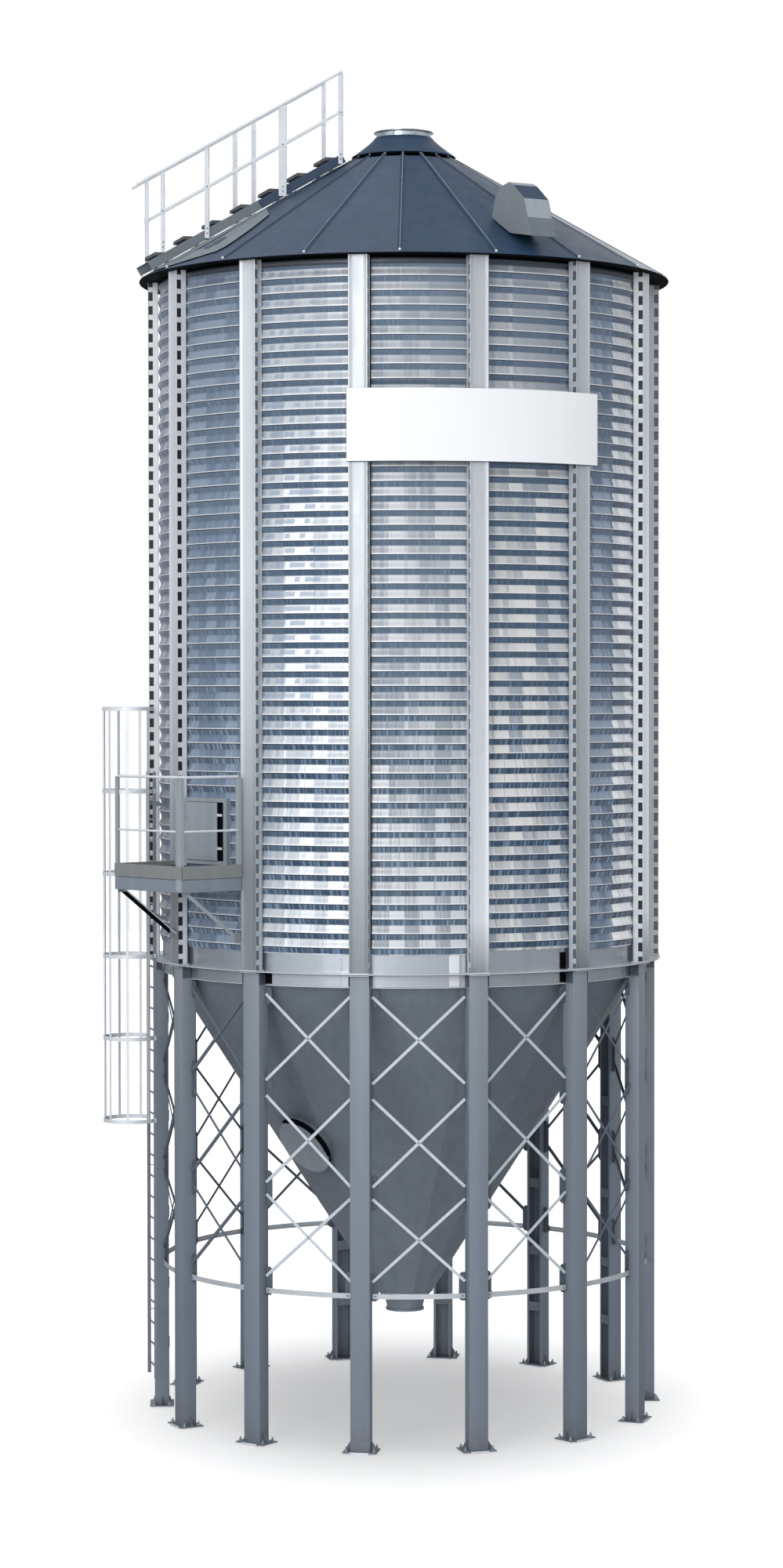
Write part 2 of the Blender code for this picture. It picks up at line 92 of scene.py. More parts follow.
def F(theta, r=0.0, z=0.0):
    """Frame at an angle from -Y towards +X: local X outward, local Y sideways."""
    return (Matrix.Translation((AX, 0, 0)) @ Matrix.Rotation(math.radians(theta - 90.0), 4, "Z")
            @ Matrix.Translation((r, 0, z)))


# -------------------------------------------------------------------- materials
def ramp(nt, fac, stops, mode="LINEAR"):
    r = nt.nodes.new("ShaderNodeValToRGB")
    r.color_ramp.interpolation = mode
    e = r.color_ramp.elements
    while len(e) > 1:
        e.remove(e[-1])
    e[0].position, e[0].color = stops[0][0], (*stops[0][1], 1)
    for p, c in stops[1:]:
        x = e.new(p)
        x.color = (*c, 1)
    nt.links.new(fac, r.inputs[0])
    return r.outputs[0]


def grey(v):
    return (v, v, v)


def math_node(nt, op, a, b=None, c=None, clamp=False):
    n = nt.nodes.new("ShaderNodeMath")
    n.operation = op
    n.use_clamp = clamp
    for i, x in enumerate((a, b, c)):
        if x is None:
            continue
        if isinstance(x, (int, float)):
            n.inputs[i].default_value = x
        else:
            nt.links.new(x, n.inputs[i])
    return n.outputs[0]


def mix(nt, fac, a, b, kind="MIX"):
    n = nt.nodes.new("ShaderNodeMix")
    n.data_type = "RGBA"
    n.blend_type = kind
    for s, x in ((n.inputs[0], fac), (n.inputs[6], a), (n.inputs[7], b)):
        if isinstance(x, (int, float)):
            s.default_value = x
        elif isinstance(x, tuple):
            s.default_value = (*x, 1)
        else:
            nt.links.new(x, s)
    return n.outputs[2]


def noise(nt, vec, scale, detail=4.0, rough=0.55, stretch=(1, 1, 1), shift=(0, 0, 0)):
    m = nt.nodes.new("ShaderNodeMapping")
    m.inputs["Scale"].default_value = stretch
    m.inputs["Location"].default_value = shift
    nt.links.new(vec, m.inputs["Vector"])
    n = nt.nodes.new("ShaderNodeTexNoise")
    n.inputs["Scale"].default_value = scale
    n.inputs["Detail"].default_value = detail
    n.inputs["Roughness"].default_value = rough
    nt.links.new(m.outputs[0], n.inputs["Vector"])
    return n.outputs["Fac"]


def remap(nt, x, a0, a1, b0, b1, smooth=False):
    n = nt.nodes.new("ShaderNodeMapRange")
    n.interpolation_type = "SMOOTHSTEP" if smooth else "LINEAR"
    for s, v in zip(n.inputs[1:5], (a0, a1, b0, b1)):
        s.default_value = v
    nt.links.new(x, n.inputs[0])
    return n.outputs[0]


def start(name):
    m = bpy.data.materials.new(name)
    m.use_nodes = True
    nt = m.node_tree
    b = nt.nodes["Principled BSDF"]
    tc = nt.nodes.new("ShaderNodeTexCoord")
    return m, nt, b, tc.outputs["Object"]


def bump(nt, b, height, strength, dist):
    n = nt.nodes.new("ShaderNodeBump")
    n.inputs["Strength"].default_value = strength
    n.inputs["Distance"].default_value = dist
    nt.links.new(height, n.inputs["Height"])
    nt.links.new(n.outputs[0], b.inputs["Normal"])


def metal(name, col, spread=0.10, rough=(0.34, 0.52), metallic=0.3, scale=1.6, streak=0.5,
          zcols=None, grain=0.35, dirt=0.0, spangle=0.0, tint=None, spec=0.5, sheen=0.0):
    """Painted or galvanised sheet: cloudy tone, rain streaks, fine grain, dirt near the ground."""
    m, nt, b, co = start(name)
    # zcols: base tones by height; the legs and stiffeners use them as painted light and painted reflection
    if zcols:
        sep = nt.nodes.new("ShaderNodeSeparateXYZ")
        nt.links.new(co, sep.inputs[0])
        z0, z1 = zcols[0][0], zcols[-1][0]
        t = remap(nt, sep.outputs[2], z0, z1, 0, 1)
        base = ramp(nt, t, [((z - z0) / (z1 - z0), c) for z, c in zcols])
    else:
        base = None
    cloud = noise(nt, co, scale, 5.0, 0.55)
    lo, hi = tuple(c * (1 - spread) for c in col), tuple(min(1, c * (1 + spread)) for c in col)
    if base is None:
        c = ramp(nt, cloud, [(0.30, lo), (0.70, hi)])
    else:
        c = mix(nt, 1.0, base, ramp(nt, cloud, [(0.30, grey(1 - spread)), (0.70, grey(1.0))]), "MULTIPLY")
    rain = noise(nt, co, 9.0, 4.0, 0.6, (1.0, 1.0, 0.05), (3, 1, 0))
    c = mix(nt, 1.0, c, ramp(nt, rain, [(0.35, grey(1 - 0.22 * streak)), (0.62, grey(1.0))]), "MULTIPLY")
    if tint:
        c = mix(nt, remap(nt, noise(nt, co, scale * 0.7, 2.0, 0.5, (1, 1, 0.6), (7, 5, 2)), 0.42, 0.66, 0, 0.55), c, tint)
    if spangle:
        v = nt.nodes.new("ShaderNodeTexVoronoi")
        v.inputs["Scale"].default_value = 70.0
        nt.links.new(co, v.inputs["Vector"])
        c = mix(nt, 1.0, c, ramp(nt, v.outputs["Distance"], [(0.0, grey(1 - spangle)), (0.55, grey(1.0))]), "MULTIPLY")
    if dirt:
        sep = nt.nodes.new("ShaderNodeSeparateXYZ")
        nt.links.new(co, sep.inputs[0])
        d = math_node(nt, "MULTIPLY", remap(nt, sep.outputs[2], 0.0, 0.55, 1.0, 0.0, True),
                      remap(nt, noise(nt, co, 11.0, 5.0, 0.65), 0.38, 0.62, 0.25, 1.0))
        c = mix(nt, math_node(nt, "MULTIPLY", d, dirt), c, (0.115, 0.105, 0.092))
    nt.links.new(c, b.inputs["Base Color"])
    fine = noise(nt, co, 85.0, 3.0, 0.6)
    nt.links.new(remap(nt, noise(nt, co, 5.0, 4.0, 0.6, (1, 1, 0.35)), 0.3, 0.7, rough[0], rough[1]), b.inputs["Roughness"])
    b.inputs["Metallic"].default_value = metallic
    b.inputs["Specular IOR Level"].default_value = spec
    b.inputs["Sheen Weight"].default_value = sheen
    b.inputs["Sheen Roughness"].default_value = 0.35
    if grain:
        bump(nt, b, fine, grain * 0.3, 0.002)
    return m


def cell(nt, a, b, seed):
    """A random number for each pair of whole numbers."""
    cb = nt.nodes.new("ShaderNodeCombineXYZ")
    for s, x in zip(cb.inputs, (a, b, seed)):
        if isinstance(x, (int, float)):
            s.default_value = x
        else:
            nt.links.new(x, s)
    n = nt.nodes.new("ShaderNodeTexWhiteNoise")
    n.noise_dimensions = "3D"
    nt.links.new(cb.outputs[0], n.inputs["Vector"])
    return n.outputs["Value"]


def panes(nt, u, row, per_m, rows, seed):
    """Random numbers on upright panes, each column cut at its own heights."""
    a = math_node(nt, "FLOOR", math_node(nt, "MULTIPLY_ADD", u, per_m, seed))
    shift = cell(nt, a, 0.0, seed)
    b = math_node(nt, "FLOOR", math_node(nt, "ADD", math_node(nt, "MULTIPLY", row, 1.0 / rows), math_node(nt, "MULTIPLY", shift, 9.0)))
    return cell(nt, a, b, seed + 3.0)


def wall_material(name, crest, looks, cuts, seed, high_mix=(0.45,), blocks=0.0):
    """Corrugated galvanised sheet with its reflections painted into the colour: the upper slopes carry a painted
    reflection of a pale sky, the lower slopes one of a dark ground, both broken up into upright panes and streaks; a
    painted highlight lies on each crest and a painted shadow under it.
    looks: (three light tones, two dark tones) of painted reflection for each part of the bay, parted at the cuts."""
    m, nt, b, co = start(name)
    sep = nt.nodes.new("ShaderNodeSeparateXYZ")
    nt.links.new(co, sep.inputs[0])
    x = math_node(nt, "SUBTRACT", sep.outputs[0], AX)
    ang = math_node(nt, "ARCTAN2", x, math_node(nt, "MULTIPLY", sep.outputs[1], -1.0))
    u = math_node(nt, "MULTIPLY", ang, 3.06)                       # metres along the wall
    part = math_node(nt, "FRACT", math_node(nt, "MULTIPLY_ADD", ang, math.degrees(1.0) / STEP, 8.0 - TH0 / STEP))
    z = sep.outputs[2]
    row = math_node(nt, "MULTIPLY", math_node(nt, "SUBTRACT", z, crest), 1.0 / PITCH)
    s = math_node(nt, "FRACT", row)
    step = math_node(nt, "FLOOR", row)
    wide = panes(nt, u, step, 5.5, 6.0, seed)
    slim = panes(nt, u, step, 21.0, 4.0, seed + 11.0)
    pane = math_node(nt, "ADD", math_node(nt, "MULTIPLY", wide, 0.75), math_node(nt, "MULTIPLY", slim, 0.25))
    streak = cell(nt, math_node(nt, "FLOOR", math_node(nt, "MULTIPLY", u, 52.0)), step, seed + 5.0)
    line = panes(nt, u, step, 120.0, 3.0, seed + 7.0)
    # painted reflection: both tones turn paler towards the top (high); the upright lines and dark streaks fade above 8
    # m (calm)
    high = remap(nt, z, 10.8, 13.6, 0.0, 1.0, True)
    calm = remap(nt, z, 8.0, 9.6, 1.0, 0.30, True)
    band = math_node(nt, "MULTIPLY", remap(nt, s, 0.566, 0.582, 0, 1), remap(nt, s, 0.982, 0.996, 1, 0))
    c = None
    for i, (light, dark) in enumerate(looks):
        lc = ramp(nt, pane, [(0.22, light[0]), (0.47, light[1]), (0.66, light[2])])
        # thin dark and bright upright lines in the light tone: painted reflection of the surroundings
        lc = mix(nt, math_node(nt, "MULTIPLY", calm, remap(nt, line, 0.95, 0.955, 0.0, 0.50)), lc, tuple(v * 0.45 for v in light[0]))
        lc = mix(nt, math_node(nt, "MULTIPLY", calm, remap(nt, line, 0.035, 0.04, 0.45, 0.0)), lc, tuple(min(1.0, v * 1.2) for v in light[2]))
        dc = ramp(nt, streak, [(0.0, tuple(v * 0.72 for v in dark[0])), (0.28, dark[0]), (0.62, dark[1]),
                               (0.88, tuple(min(1.0, v * 1.6) for v in dark[1]))], "CONSTANT")
        dc = mix(nt, calm, tuple((p + q) / 2 for p, q in zip(*dark)), dc)
        hm = high_mix[min(i, len(high_mix) - 1)]
        lc = mix(nt, math_node(nt, "MULTIPLY", high, hm), lc, lin(152, 159, 167))
        dc = mix(nt, math_node(nt, "MULTIPLY", high, hm * 0.7), dc, lin(118, 132, 148))
        q = mix(nt, band, lc, dc)
        c = q if c is None else mix(nt, remap(nt, part, cuts[i - 1] - 0.003, cuts[i - 1] + 0.003, 0, 1), c, q)
    # painted reflection: pale blue blocks on the upper slopes, in the left part of the bay, mostly above about 8.2 m
    if blocks:
        sq = cell(nt, math_node(nt, "FLOOR", math_node(nt, "MULTIPLY", u, 15.0)), step, seed + 9.0)
        k = math_node(nt, "MULTIPLY", remap(nt, sq, 0.52, 0.53, 0, blocks), math_node(nt, "MULTIPLY", remap(nt, s, 0.14, 0.17, 0, 1), remap(nt, s, 0.47, 0.50, 1, 0)))
        k = math_node(nt, "MULTIPLY", k, math_node(nt, "MULTIPLY", remap(nt, part, 0.62, 0.70, 1, 0), remap(nt, z, 8.2, 9.0, 0.25, 1)))
        c = mix(nt, k, c, lin(150, 166, 186))
    # painted shadow: a dark line just under each crest
    c = mix(nt, math_node(nt, "MULTIPLY", remap(nt, s, 0.930, 0.945, 0, 1), remap(nt, s, 0.985, 0.997, 1, 0)), c, (0.022, 0.030, 0.042))
    # painted highlight: a bright line on each crest
    c = mix(nt, remap(nt, s, 0.050, 0.070, 0.85, 0), c, (0.860, 0.870, 0.880))
    # painted shadow: the top row under the eave is darkened
    c = mix(nt, remap(nt, z, 13.985, 13.995, 0.0, 0.92), c, lin(58, 64, 72))
    nt.links.new(c, b.inputs["Base Color"])
    nt.links.new(remap(nt, noise(nt, co, 3.0, 4.0, 0.6), 0.3, 0.7, 0.30, 0.44), b.inputs["Roughness"])
    b.inputs["Metallic"].default_value = 0.20
    bump(nt, b, noise(nt, co, 55.0, 3.0, 0.6), 0.08, 0.002)
    return m


def tick_material(name, light, dark):
    """The stiffeners' flanks: a painted reflection of the wall's waves, as ticks on the outer half."""
    m, nt, b, co = start(name)
    sep = nt.nodes.new("ShaderNodeSeparateXYZ")
    nt.links.new(co, sep.inputs[0])
    x = math_node(nt, "SUBTRACT", sep.outputs[0], AX)
    r2 = math_node(nt, "ADD", math_node(nt, "MULTIPLY", x, x), math_node(nt, "MULTIPLY", sep.outputs[1], sep.outputs[1]))
    rr = math_node(nt, "SQRT", r2)
    s = math_node(nt, "FRACT", math_node(nt, "MULTIPLY", math_node(nt, "SUBTRACT", sep.outputs[2], CREST), 1.0 / PITCH))
    k = math_node(nt, "MULTIPLY", remap(nt, rr, 3.144, 3.150, 0, 1), math_node(nt, "MULTIPLY", remap(nt, s, 0.02, 0.06, 0, 1), remap(nt, s, 0.66, 0.70, 1, 0)))
    c = mix(nt, k, light, dark)
    c = mix(nt, 1.0, c, ramp(nt, noise(nt, co, 2.0, 4.0, 0.6), [(0.3, grey(0.86)), (0.7, grey(1.0))]), "MULTIPLY")
    nt.links.new(c, b.inputs["Base Color"])
    nt.links.new(remap(nt, noise(nt, co, 6.0, 3.0, 0.6), 0.3, 0.7, 0.34, 0.48), b.inputs["Roughness"])
    b.inputs["Metallic"].default_value = 0.20
    bump(nt, b, noise(nt, co, 60.0, 3.0, 0.6), 0.08, 0.002)
    return m


def lin(r, g, b):
    return tuple(((c / 255) / 12.92 if c / 255 <= 0.04045 else ((c / 255 + 0.055) / 1.055) ** 2.4) for c in (r, g, b))


M = {}
# the leg paint is graded lighter towards the head (zcols): painted light
M["leg"] = metal("leg_paint", lin(120, 130, 141), 0.05, (0.40, 0.56), 0.10, 0.9, 0.35, dirt=0.5,
                 zcols=[(0.0, lin(112, 122, 133)), (2.0, lin(121, 131, 142)), (4.2, lin(128, 137, 147)), (5.65, lin(143, 151, 158))])
# a darker copy of the leg paint for the stitch plates on the legs' inward side: painted shade
M["leg_side"] = metal("leg_inside", lin(104, 112, 119), 0.08, (0.45, 0.62), 0.10, 1.3, 0.5, dirt=0.5)
M["foot"] = metal("foot_plate", lin(214, 217, 220), 0.08, (0.40, 0.60), 0.25, 9.0, 0.1, spangle=0.10)
M["bolt"] = metal("zinc_bolt", lin(150, 156, 162), 0.12, (0.28, 0.42), 0.55, 22.0, 0.0)
M["gusset"] = metal("gusset_plate", lin(84, 92, 100), 0.08, (0.42, 0.58), 0.15, 4.0, 0.3)
M["brace"] = metal("brace_galvanised", lin(205, 211, 217), 0.08, (0.34, 0.50), 0.35, 5.0, 0.2, spangle=0.08)
M["brace_dark"] = metal("brace_shaded", lin(104, 112, 122), 0.10, (0.40, 0.56), 0.25, 5.0, 0.2, spangle=0.08)
M["tie"] = metal("tie_galvanised", lin(196, 201, 204), 0.08, (0.34, 0.50), 0.35, 3.0, 0.2, spangle=0.08)
# per-stiffener tones by height: painted reflection and shade, lit and shaded copies of the stiffener finish for
# stiffeners at different angles
for key, tones in (("stiff_l", ((5.7, 138), (6.9, 146), (8.6, 198), (10.5, 222), (14.1, 216))),
                   ("stiff_f", ((5.7, 136), (6.9, 164), (8.6, 192), (10.5, 198), (14.1, 206))),
                   ("stiff_r", ((5.7, 148), (6.3, 222), (8.6, 211), (10.5, 200), (14.1, 188))),
                   ("stiff_c", ((5.7, 130), (6.3, 172), (8.6, 177), (10.5, 182), (14.1, 194))),
                   ("stiff_e", ((5.7, 166), (6.3, 244), (8.6, 248), (10.5, 248), (14.1, 210)))):
    M[key] = metal(key.replace("stiff", "stiffener"), lin(200, 205, 209), 0.05, (0.30, 0.44), 0.20, 0.8, 0.25, spangle=0.04,
                   zcols=[(z, lin(v, v + 4, v + 7)) for z, v in tones])
# the flanks' ticks are painted reflection; stiffener_flank_shaded is a higher-contrast copy of it
M["tick"] = tick_material("stiffener_flank", lin(200, 205, 210), lin(100, 109, 120))
M["tick_dark"] = tick_material("stiffener_flank_shaded", lin(226, 228, 230), lin(26, 30, 36))
M["band"] = metal("band_galvanised", lin(188, 194, 200), 0.07, (0.28, 0.36), 0.86, 0.9, 0.20, grain=0.0)
M["strap"] = metal("strap_galvanised", lin(238, 239, 239), 0.05, (0.28, 0.40), 0.30, 2.5, 0.2)
M["flange"] = metal("flange_galvanised", lin(205, 210, 213), 0.08, (0.32, 0.46), 0.30, 2.5, 0.2, spangle=0.06)
M["cone"] = metal("hopper_sheet", lin(126, 135, 144), 0.05, (0.36, 0.50), 0.20, 0.7, 0.5)
# roof_blue, roof_mid and roof_edge are darker and paler copies of the roof coating for single roof sectors, the cap and
# the hood's top: painted reflection; roof_edge also has shader sheen
M["roof"] = metal("roof_coating", lin(66, 81, 100), 0.05, (0.42, 0.54), 0.0, 0.6, 0.40, spec=0.16)
M["roof_blue"] = metal("roof_coating_blue", lin(40, 62, 86), 0.05, (0.42, 0.54), 0.0, 0.6, 0.40, spec=0.16)
M["roof_mid"] = metal("roof_coating_right", lin(70, 82, 97), 0.05, (0.42, 0.54), 0.0, 0.6, 0.40, spec=0.20)
M["roof_edge"] = metal("roof_coating_edge", lin(96, 108, 122), 0.05, (0.40, 0.50), 0.0, 0.6, 0.40, spec=0.4, sheen=0.45)
M["rib"] = metal("roof_rib", lin(112, 126, 146), 0.08, (0.28, 0.40), 0.30, 2.0, 0.3)
M["plate"] = metal("roof_plate", lin(124, 132, 137), 0.06, (0.42, 0.56), 0.10, 1.8, 0.35, spec=0.3)
M["black"] = metal("shadow_gap", lin(6, 8, 12), 0.20, (0.60, 0.80), 0.0, 2.0, 0.0, spec=0.05)
M["grey"] = metal("grey_coating", lin(136, 143, 148), 0.05, (0.38, 0.52), 0.15, 1.8, 0.35)
M["grey_dark"] = metal("grey_shade", lin(112, 121, 127), 0.06, (0.40, 0.55), 0.15, 1.8, 0.35)
M["grey_blue"] = metal("grey_blue_coating", lin(132, 142, 152), 0.05, (0.38, 0.52), 0.15, 1.8, 0.35)
M["grey_light"] = metal("grey_light_coating", lin(158, 165, 171), 0.05, (0.36, 0.50), 0.15, 2.0, 0.35)
M["hatch"] = metal("hatch_coating", lin(156, 164, 170), 0.05, (0.38, 0.52), 0.15, 1.8, 0.35)
M["toe"] = metal("toe_board", lin(134, 137, 136), 0.05, (0.42, 0.56), 0.10, 2.0, 0.35)
M["grating"] = metal("grating", lin(86, 89, 91), 0.15, (0.50, 0.70), 0.20, 9.0, 0.3, spangle=0.12)
M["rail"] = metal("rail_galvanised", lin(226, 229, 232), 0.06, (0.32, 0.48), 0.25, 6.0, 0.2, spangle=0.06)
M["ladder"] = metal("ladder_galvanised", lin(126, 133, 140), 0.09, (0.34, 0.50), 0.30, 6.0, 0.2, spangle=0.07)
M["cage"] = metal("cage_galvanised", lin(222, 225, 228), 0.06, (0.34, 0.50), 0.25, 6.0, 0.2, spangle=0.06)
M["ring"] = metal("filling_ring", lin(188, 198, 204), 0.18, (0.16, 0.30), 0.75, 4.0, 0.6)
M["sign"] = metal("white_board", lin(246, 246, 246), 0.01, (0.34, 0.44), 0.0, 0.8, 0.05, grain=0.1)
M["sign_edge"] = metal("board_edge", lin(188, 191, 195), 0.06, (0.40, 0.50), 0.2, 3.0, 0.1)

# tones of the walls' painted reflections: three light tones for the upper slopes (a painted pale sky) and two dark ones
# for the lower slopes (a painted dark ground)
PALE = (lin(154, 160, 168), lin(188, 191, 194), lin(206, 208, 210))
WARM = (lin(158, 165, 173), lin(193, 194, 193), lin(218, 217, 214))
WARM_RIGHT = (lin(144, 152, 162), lin(170, 176, 183), lin(204, 206, 208))
WHITE = (lin(202, 207, 212), lin(227, 231, 234), lin(246, 247, 248))
WHITE_RIGHT = (lin(204, 209, 214), lin(240, 242, 243), lin(250, 251, 251))
SOFT = (lin(168, 176, 185), lin(192, 198, 203), lin(206, 210, 213))
BLUE = (lin(100, 116, 136), lin(118, 136, 156), lin(150, 164, 180))
PANES = (lin(112, 128, 148), lin(128, 145, 166), lin(146, 160, 178))
DUSK = (lin(120, 132, 146), lin(142, 154, 168), lin(172, 180, 188))
FLAT = (lin(92, 111, 128), lin(108, 126, 144))
DEEP = (lin(74, 94, 116), lin(96, 116, 138))
NIGHT = (lin(92, 105, 122), lin(110, 123, 140))
MILD = (lin(104, 120, 140), lin(128, 144, 162))
WALLS = {
    "bright": wall_material("wall_bright", CREST, [(SOFT, FLAT), (WHITE, DEEP)], [0.30], 1.0, (0.15, 0.62), 0.7),
    "mid": wall_material("wall_mid", CREST, [(PALE, FLAT), (PALE, FLAT), (PALE, FLAT)], [0.36, 0.60], 2.0, (0.15, 0.60, 0.95)),
    "warm": wall_material("wall_warm", CREST + 0.06, [(WARM, DEEP), (WARM, DEEP), (WARM_RIGHT, DEEP)], [0.34, 0.70], 3.0, (0.50, 0.95, 0.6)),
    "blue": wall_material("wall_blue", CREST, [(BLUE, MILD), (WHITE_RIGHT, NIGHT), (WHITE, MILD)], [0.53, 0.86], 4.0, (0.1, 0.5, 0.3)),
    "pane": wall_material("wall_pane", CREST, [(PANES, MILD)], [], 5.0, (0.15,)),
    "side": wall_material("wall_side", CREST, [(DUSK, MILD)], [], 6.0, (0.15,)),
}
# each bay takes its own set of painted reflections
BAY_LOOK = ["mid", "warm", "blue", "side", "bright", "mid", "warm", "blue", "side", "bright", "mid", "side", "pane", "bright"]


# ------------------------------------------------------------------ mesh builder
class Build:
    def __init__(self):
        self.v, self.f, self.m, self.s = [], [], [], []
        self.mats = []

    def slot(self, key):
        if key not in self.mats:
            self.mats.append(key)
        return self.mats.index(key)

    def add(self, vs, fs, mat, frame=None, smooth=False):
        o = len(self.v)
        a = np.asarray(vs, float)
        if frame is not None:
            q = np.array(frame)
            a = a @ q[:3, :3].T + q[:3, 3]
        self.v.extend(map(tuple, a.tolist()))
        self.f.extend(tuple(i + o for i in f) for f in fs)
        k = self.slot(mat)
        self.m.extend([k] * len(fs))
        self.s.extend([smooth] * len(fs))

    def cbox(self, size, at, mat, frame=None, rot=None, c=0.0015):
        """A box with its edges chamfered."""
        h = [x / 2 for x in size]
        c = min(c, 0.45 * min(size))
        vs, idx = [], {}
        for i in (-1, 1):
            for j in (-1, 1):
                for k in (-1, 1):
                    for a in range(3):
                        p = [i * (h[0] - (a != 0) * c), j * (h[1] - (a != 1) * c), k * (h[2] - (a != 2) * c)]
                        idx[i, j, k, a] = len(vs)
                        vs.append(p)
        fs = []
        for i in (-1, 1):
            fs.append([idx[i, j, k, 0] for j, k in ((-1, -1), (1, -1), (1, 1), (-1, 1))])
            fs.append([idx[j, i, k, 1] for j, k in ((-1, -1), (1, -1), (1, 1), (-1, 1))])
            fs.append([idx[j, k, i, 2] for j, k in ((-1, -1), (1, -1), (1, 1), (-1, 1))])
        for i in (-1, 1):
            for j in (-1, 1):
                fs.append([idx[i, j, -1, 0], idx[i, j, -1, 1], idx[i, j, 1, 1], idx[i, j, 1, 0]])
                fs.append([idx[i, -1, j, 0], idx[i, -1, j, 2], idx[i, 1, j, 2], idx[i, 1, j, 0]])
                fs.append([idx[-1, i, j, 1], idx[-1, i, j, 2], idx[1, i, j, 2], idx[1, i, j, 1]])
                for k in (-1, 1):
                    fs.append([idx[i, j, k, a] for a in range(3)])
        m = Matrix.Translation(at)
        if rot is not None:
            m = m @ rot
        if frame is not None:
            m = frame @ m
        self.add(vs, fs, mat, m)

    def bar(self, a, b, w, t, mat, frame=None, side=(1, 0, 0), c=0.0015):
        """A flat bar from a to b, w wide, t thick along side."""
        a, b, side = Vector(a), Vector(b), Vector(side).normalized()
        x = (b - a).normalized()
        y = (side - x * side.dot(x)).normalized()
        rot = Matrix((x, y, x.cross(y))).transposed().to_4x4()
        self.cbox(((b - a).length, t, w), (a + b) / 2, mat, frame, rot, c)

    def prism(self, outline, z0, z1, mat, frame=None, smooth=False):
        """A flat outline in local XY, pushed from z0 to z1."""
        n = len(outline)
        vs = [(x, y, z0) for x, y in outline] + [(x, y, z1) for x, y in outline]
        fs = [[i, (i + 1) % n, (i + 1) % n + n, i + n] for i in range(n)]
        fs += [list(range(n))[::-1], list(range(n, 2 * n))]
        self.add(vs, fs, mat, frame, smooth)

    def tube(self, pts, r, mat, n=10, frame=None, smooth=True):
        p = [Vector(q) for q in pts]
        rings, prev = [], None
        for i, q in enumerate(p):
            t = ((p[i + 1] - p[i]) if i == 0 else (p[i] - p[i - 1]) if i == len(p) - 1
                 else ((p[i + 1] - p[i]).normalized() + (p[i] - p[i - 1]).normalized())).normalized()
            if prev is None:
                a = Vector((0, 0, 1)) if abs(t.z) < 0.9 else Vector((1, 0, 0))
                x = t.cross(a).normalized()
            else:
                x = (prev - t * prev.dot(t)).normalized()
            prev = x
            y = t.cross(x)
            rings.append([tuple(q + (x * math.cos(2 * math.pi * k / n) + y * math.sin(2 * math.pi * k / n)) * r)
                          for k in range(n)])
        vs = [v for ring in rings for v in ring]
        fs = []
        for i in range(len(p) - 1):
            for k in range(n):
                fs.append([i * n + k, i * n + (k + 1) % n, (i + 1) * n + (k + 1) % n, (i + 1) * n + k])
        fs += [list(range(n))[::-1], [len(vs) - n + k for k in range(n)]]
        self.add(vs, fs, mat, frame, smooth)

    def lathe(self, profile, mat, steps=72, a0=0.0, a1=360.0, frame=None, smooth=True):
        """A closed profile of (r, z) turned about the local Z axis."""
        full = abs(a1 - a0) > 359.9
        n, k = len(profile), steps if full else steps + 1
        vs = []
        for i in range(k):
            a = math.radians(a0 + (a1 - a0) * i / steps)
            vs += [(r * math.sin(a), -r * math.cos(a), z) for r, z in profile]
        fs = []
        for i in range(steps):
            j = (i + 1) % k
            for q in range(n):
                fs.append([i * n + q, j * n + q, j * n + (q + 1) % n, i * n + (q + 1) % n])
        if not full:
            fs += [list(range(n)), [(k - 1) * n + q for q in range(n)][::-1]]
        self.add(vs, fs, mat, frame, smooth)

    def bolt(self, at, mat="bolt", r=0.013, h=0.010, frame=None, rot=None, washer=True):
        """A hexagon head on a washer, pointing along local X."""
        m = Matrix.Translation(at)
        if rot is not None:
            m = m @ rot
        if frame is not None:
            m = frame @ m
        if washer:
            n = 12
            ring = [(r * 1.45 * math.cos(2 * math.pi * i / n), r * 1.45 * math.sin(2 * math.pi * i / n)) for i in range(n)]
            vs = [(0, a, b) for a, b in ring] + [(h * 0.25, a, b) for a, b in ring]
            fs = [[i, (i + 1) % n, (i + 1) % n + n, i + n] for i in range(n)] + [list(range(n))[::-1], list(range(n, 2 * n))]
            self.add(vs, fs, mat, m)
        n = 6
        ring = [(math.cos(2 * math.pi * i / n), math.sin(2 * math.pi * i / n)) for i in range(n)]
        vs = ([(h * 0.25, r * a, r * b) for a, b in ring] + [(h * 0.95, r * a, r * b) for a, b in ring]
              + [(h * 1.1, r * 0.82 * a, r * 0.82 * b) for a, b in ring])
        fs = [[i, (i + 1) % n, (i + 1) % n + n, i + n] for i in range(n)]
        fs += [[n + i, n + (i + 1) % n, 2 * n + (i + 1) % n, 2 * n + i] for i in range(n)]
        fs += [list(range(n))[::-1], list(range(2 * n, 3 * n))]
        self.add(vs, fs, mat, m)

    def done(self, name, nodes=(), sharp=32.0, body="root"):
        me = bpy.data.meshes.new(name)
        me.from_pydata(self.v, [], self.f)
        for k in self.mats:
            me.materials.append(M[k] if k in M else WALLS[k])
        me.polygons.foreach_set("material_index", self.m)
        me.polygons.foreach_set("use_smooth", self.s)
        bm = bmesh.new()
        bm.from_mesh(me)
        bmesh.ops.recalc_face_normals(bm, faces=bm.faces)
        bm.to_mesh(me)
        bm.free()
        if any(self.s):
            me.set_sharp_from_angle(angle=math.radians(sharp))
        o = bpy.data.objects.new(name, me)
        bpy.context.scene.collection.objects.link(o)
        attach(o, body)
        if nodes:
            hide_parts(*nodes)
        return o


# ------------------------------------------------------------- corrugated walls
def wave(z, crest):
    return WAVE_R + WAVE_A * math.cos(2 * math.pi * (z - crest) / PITCH)


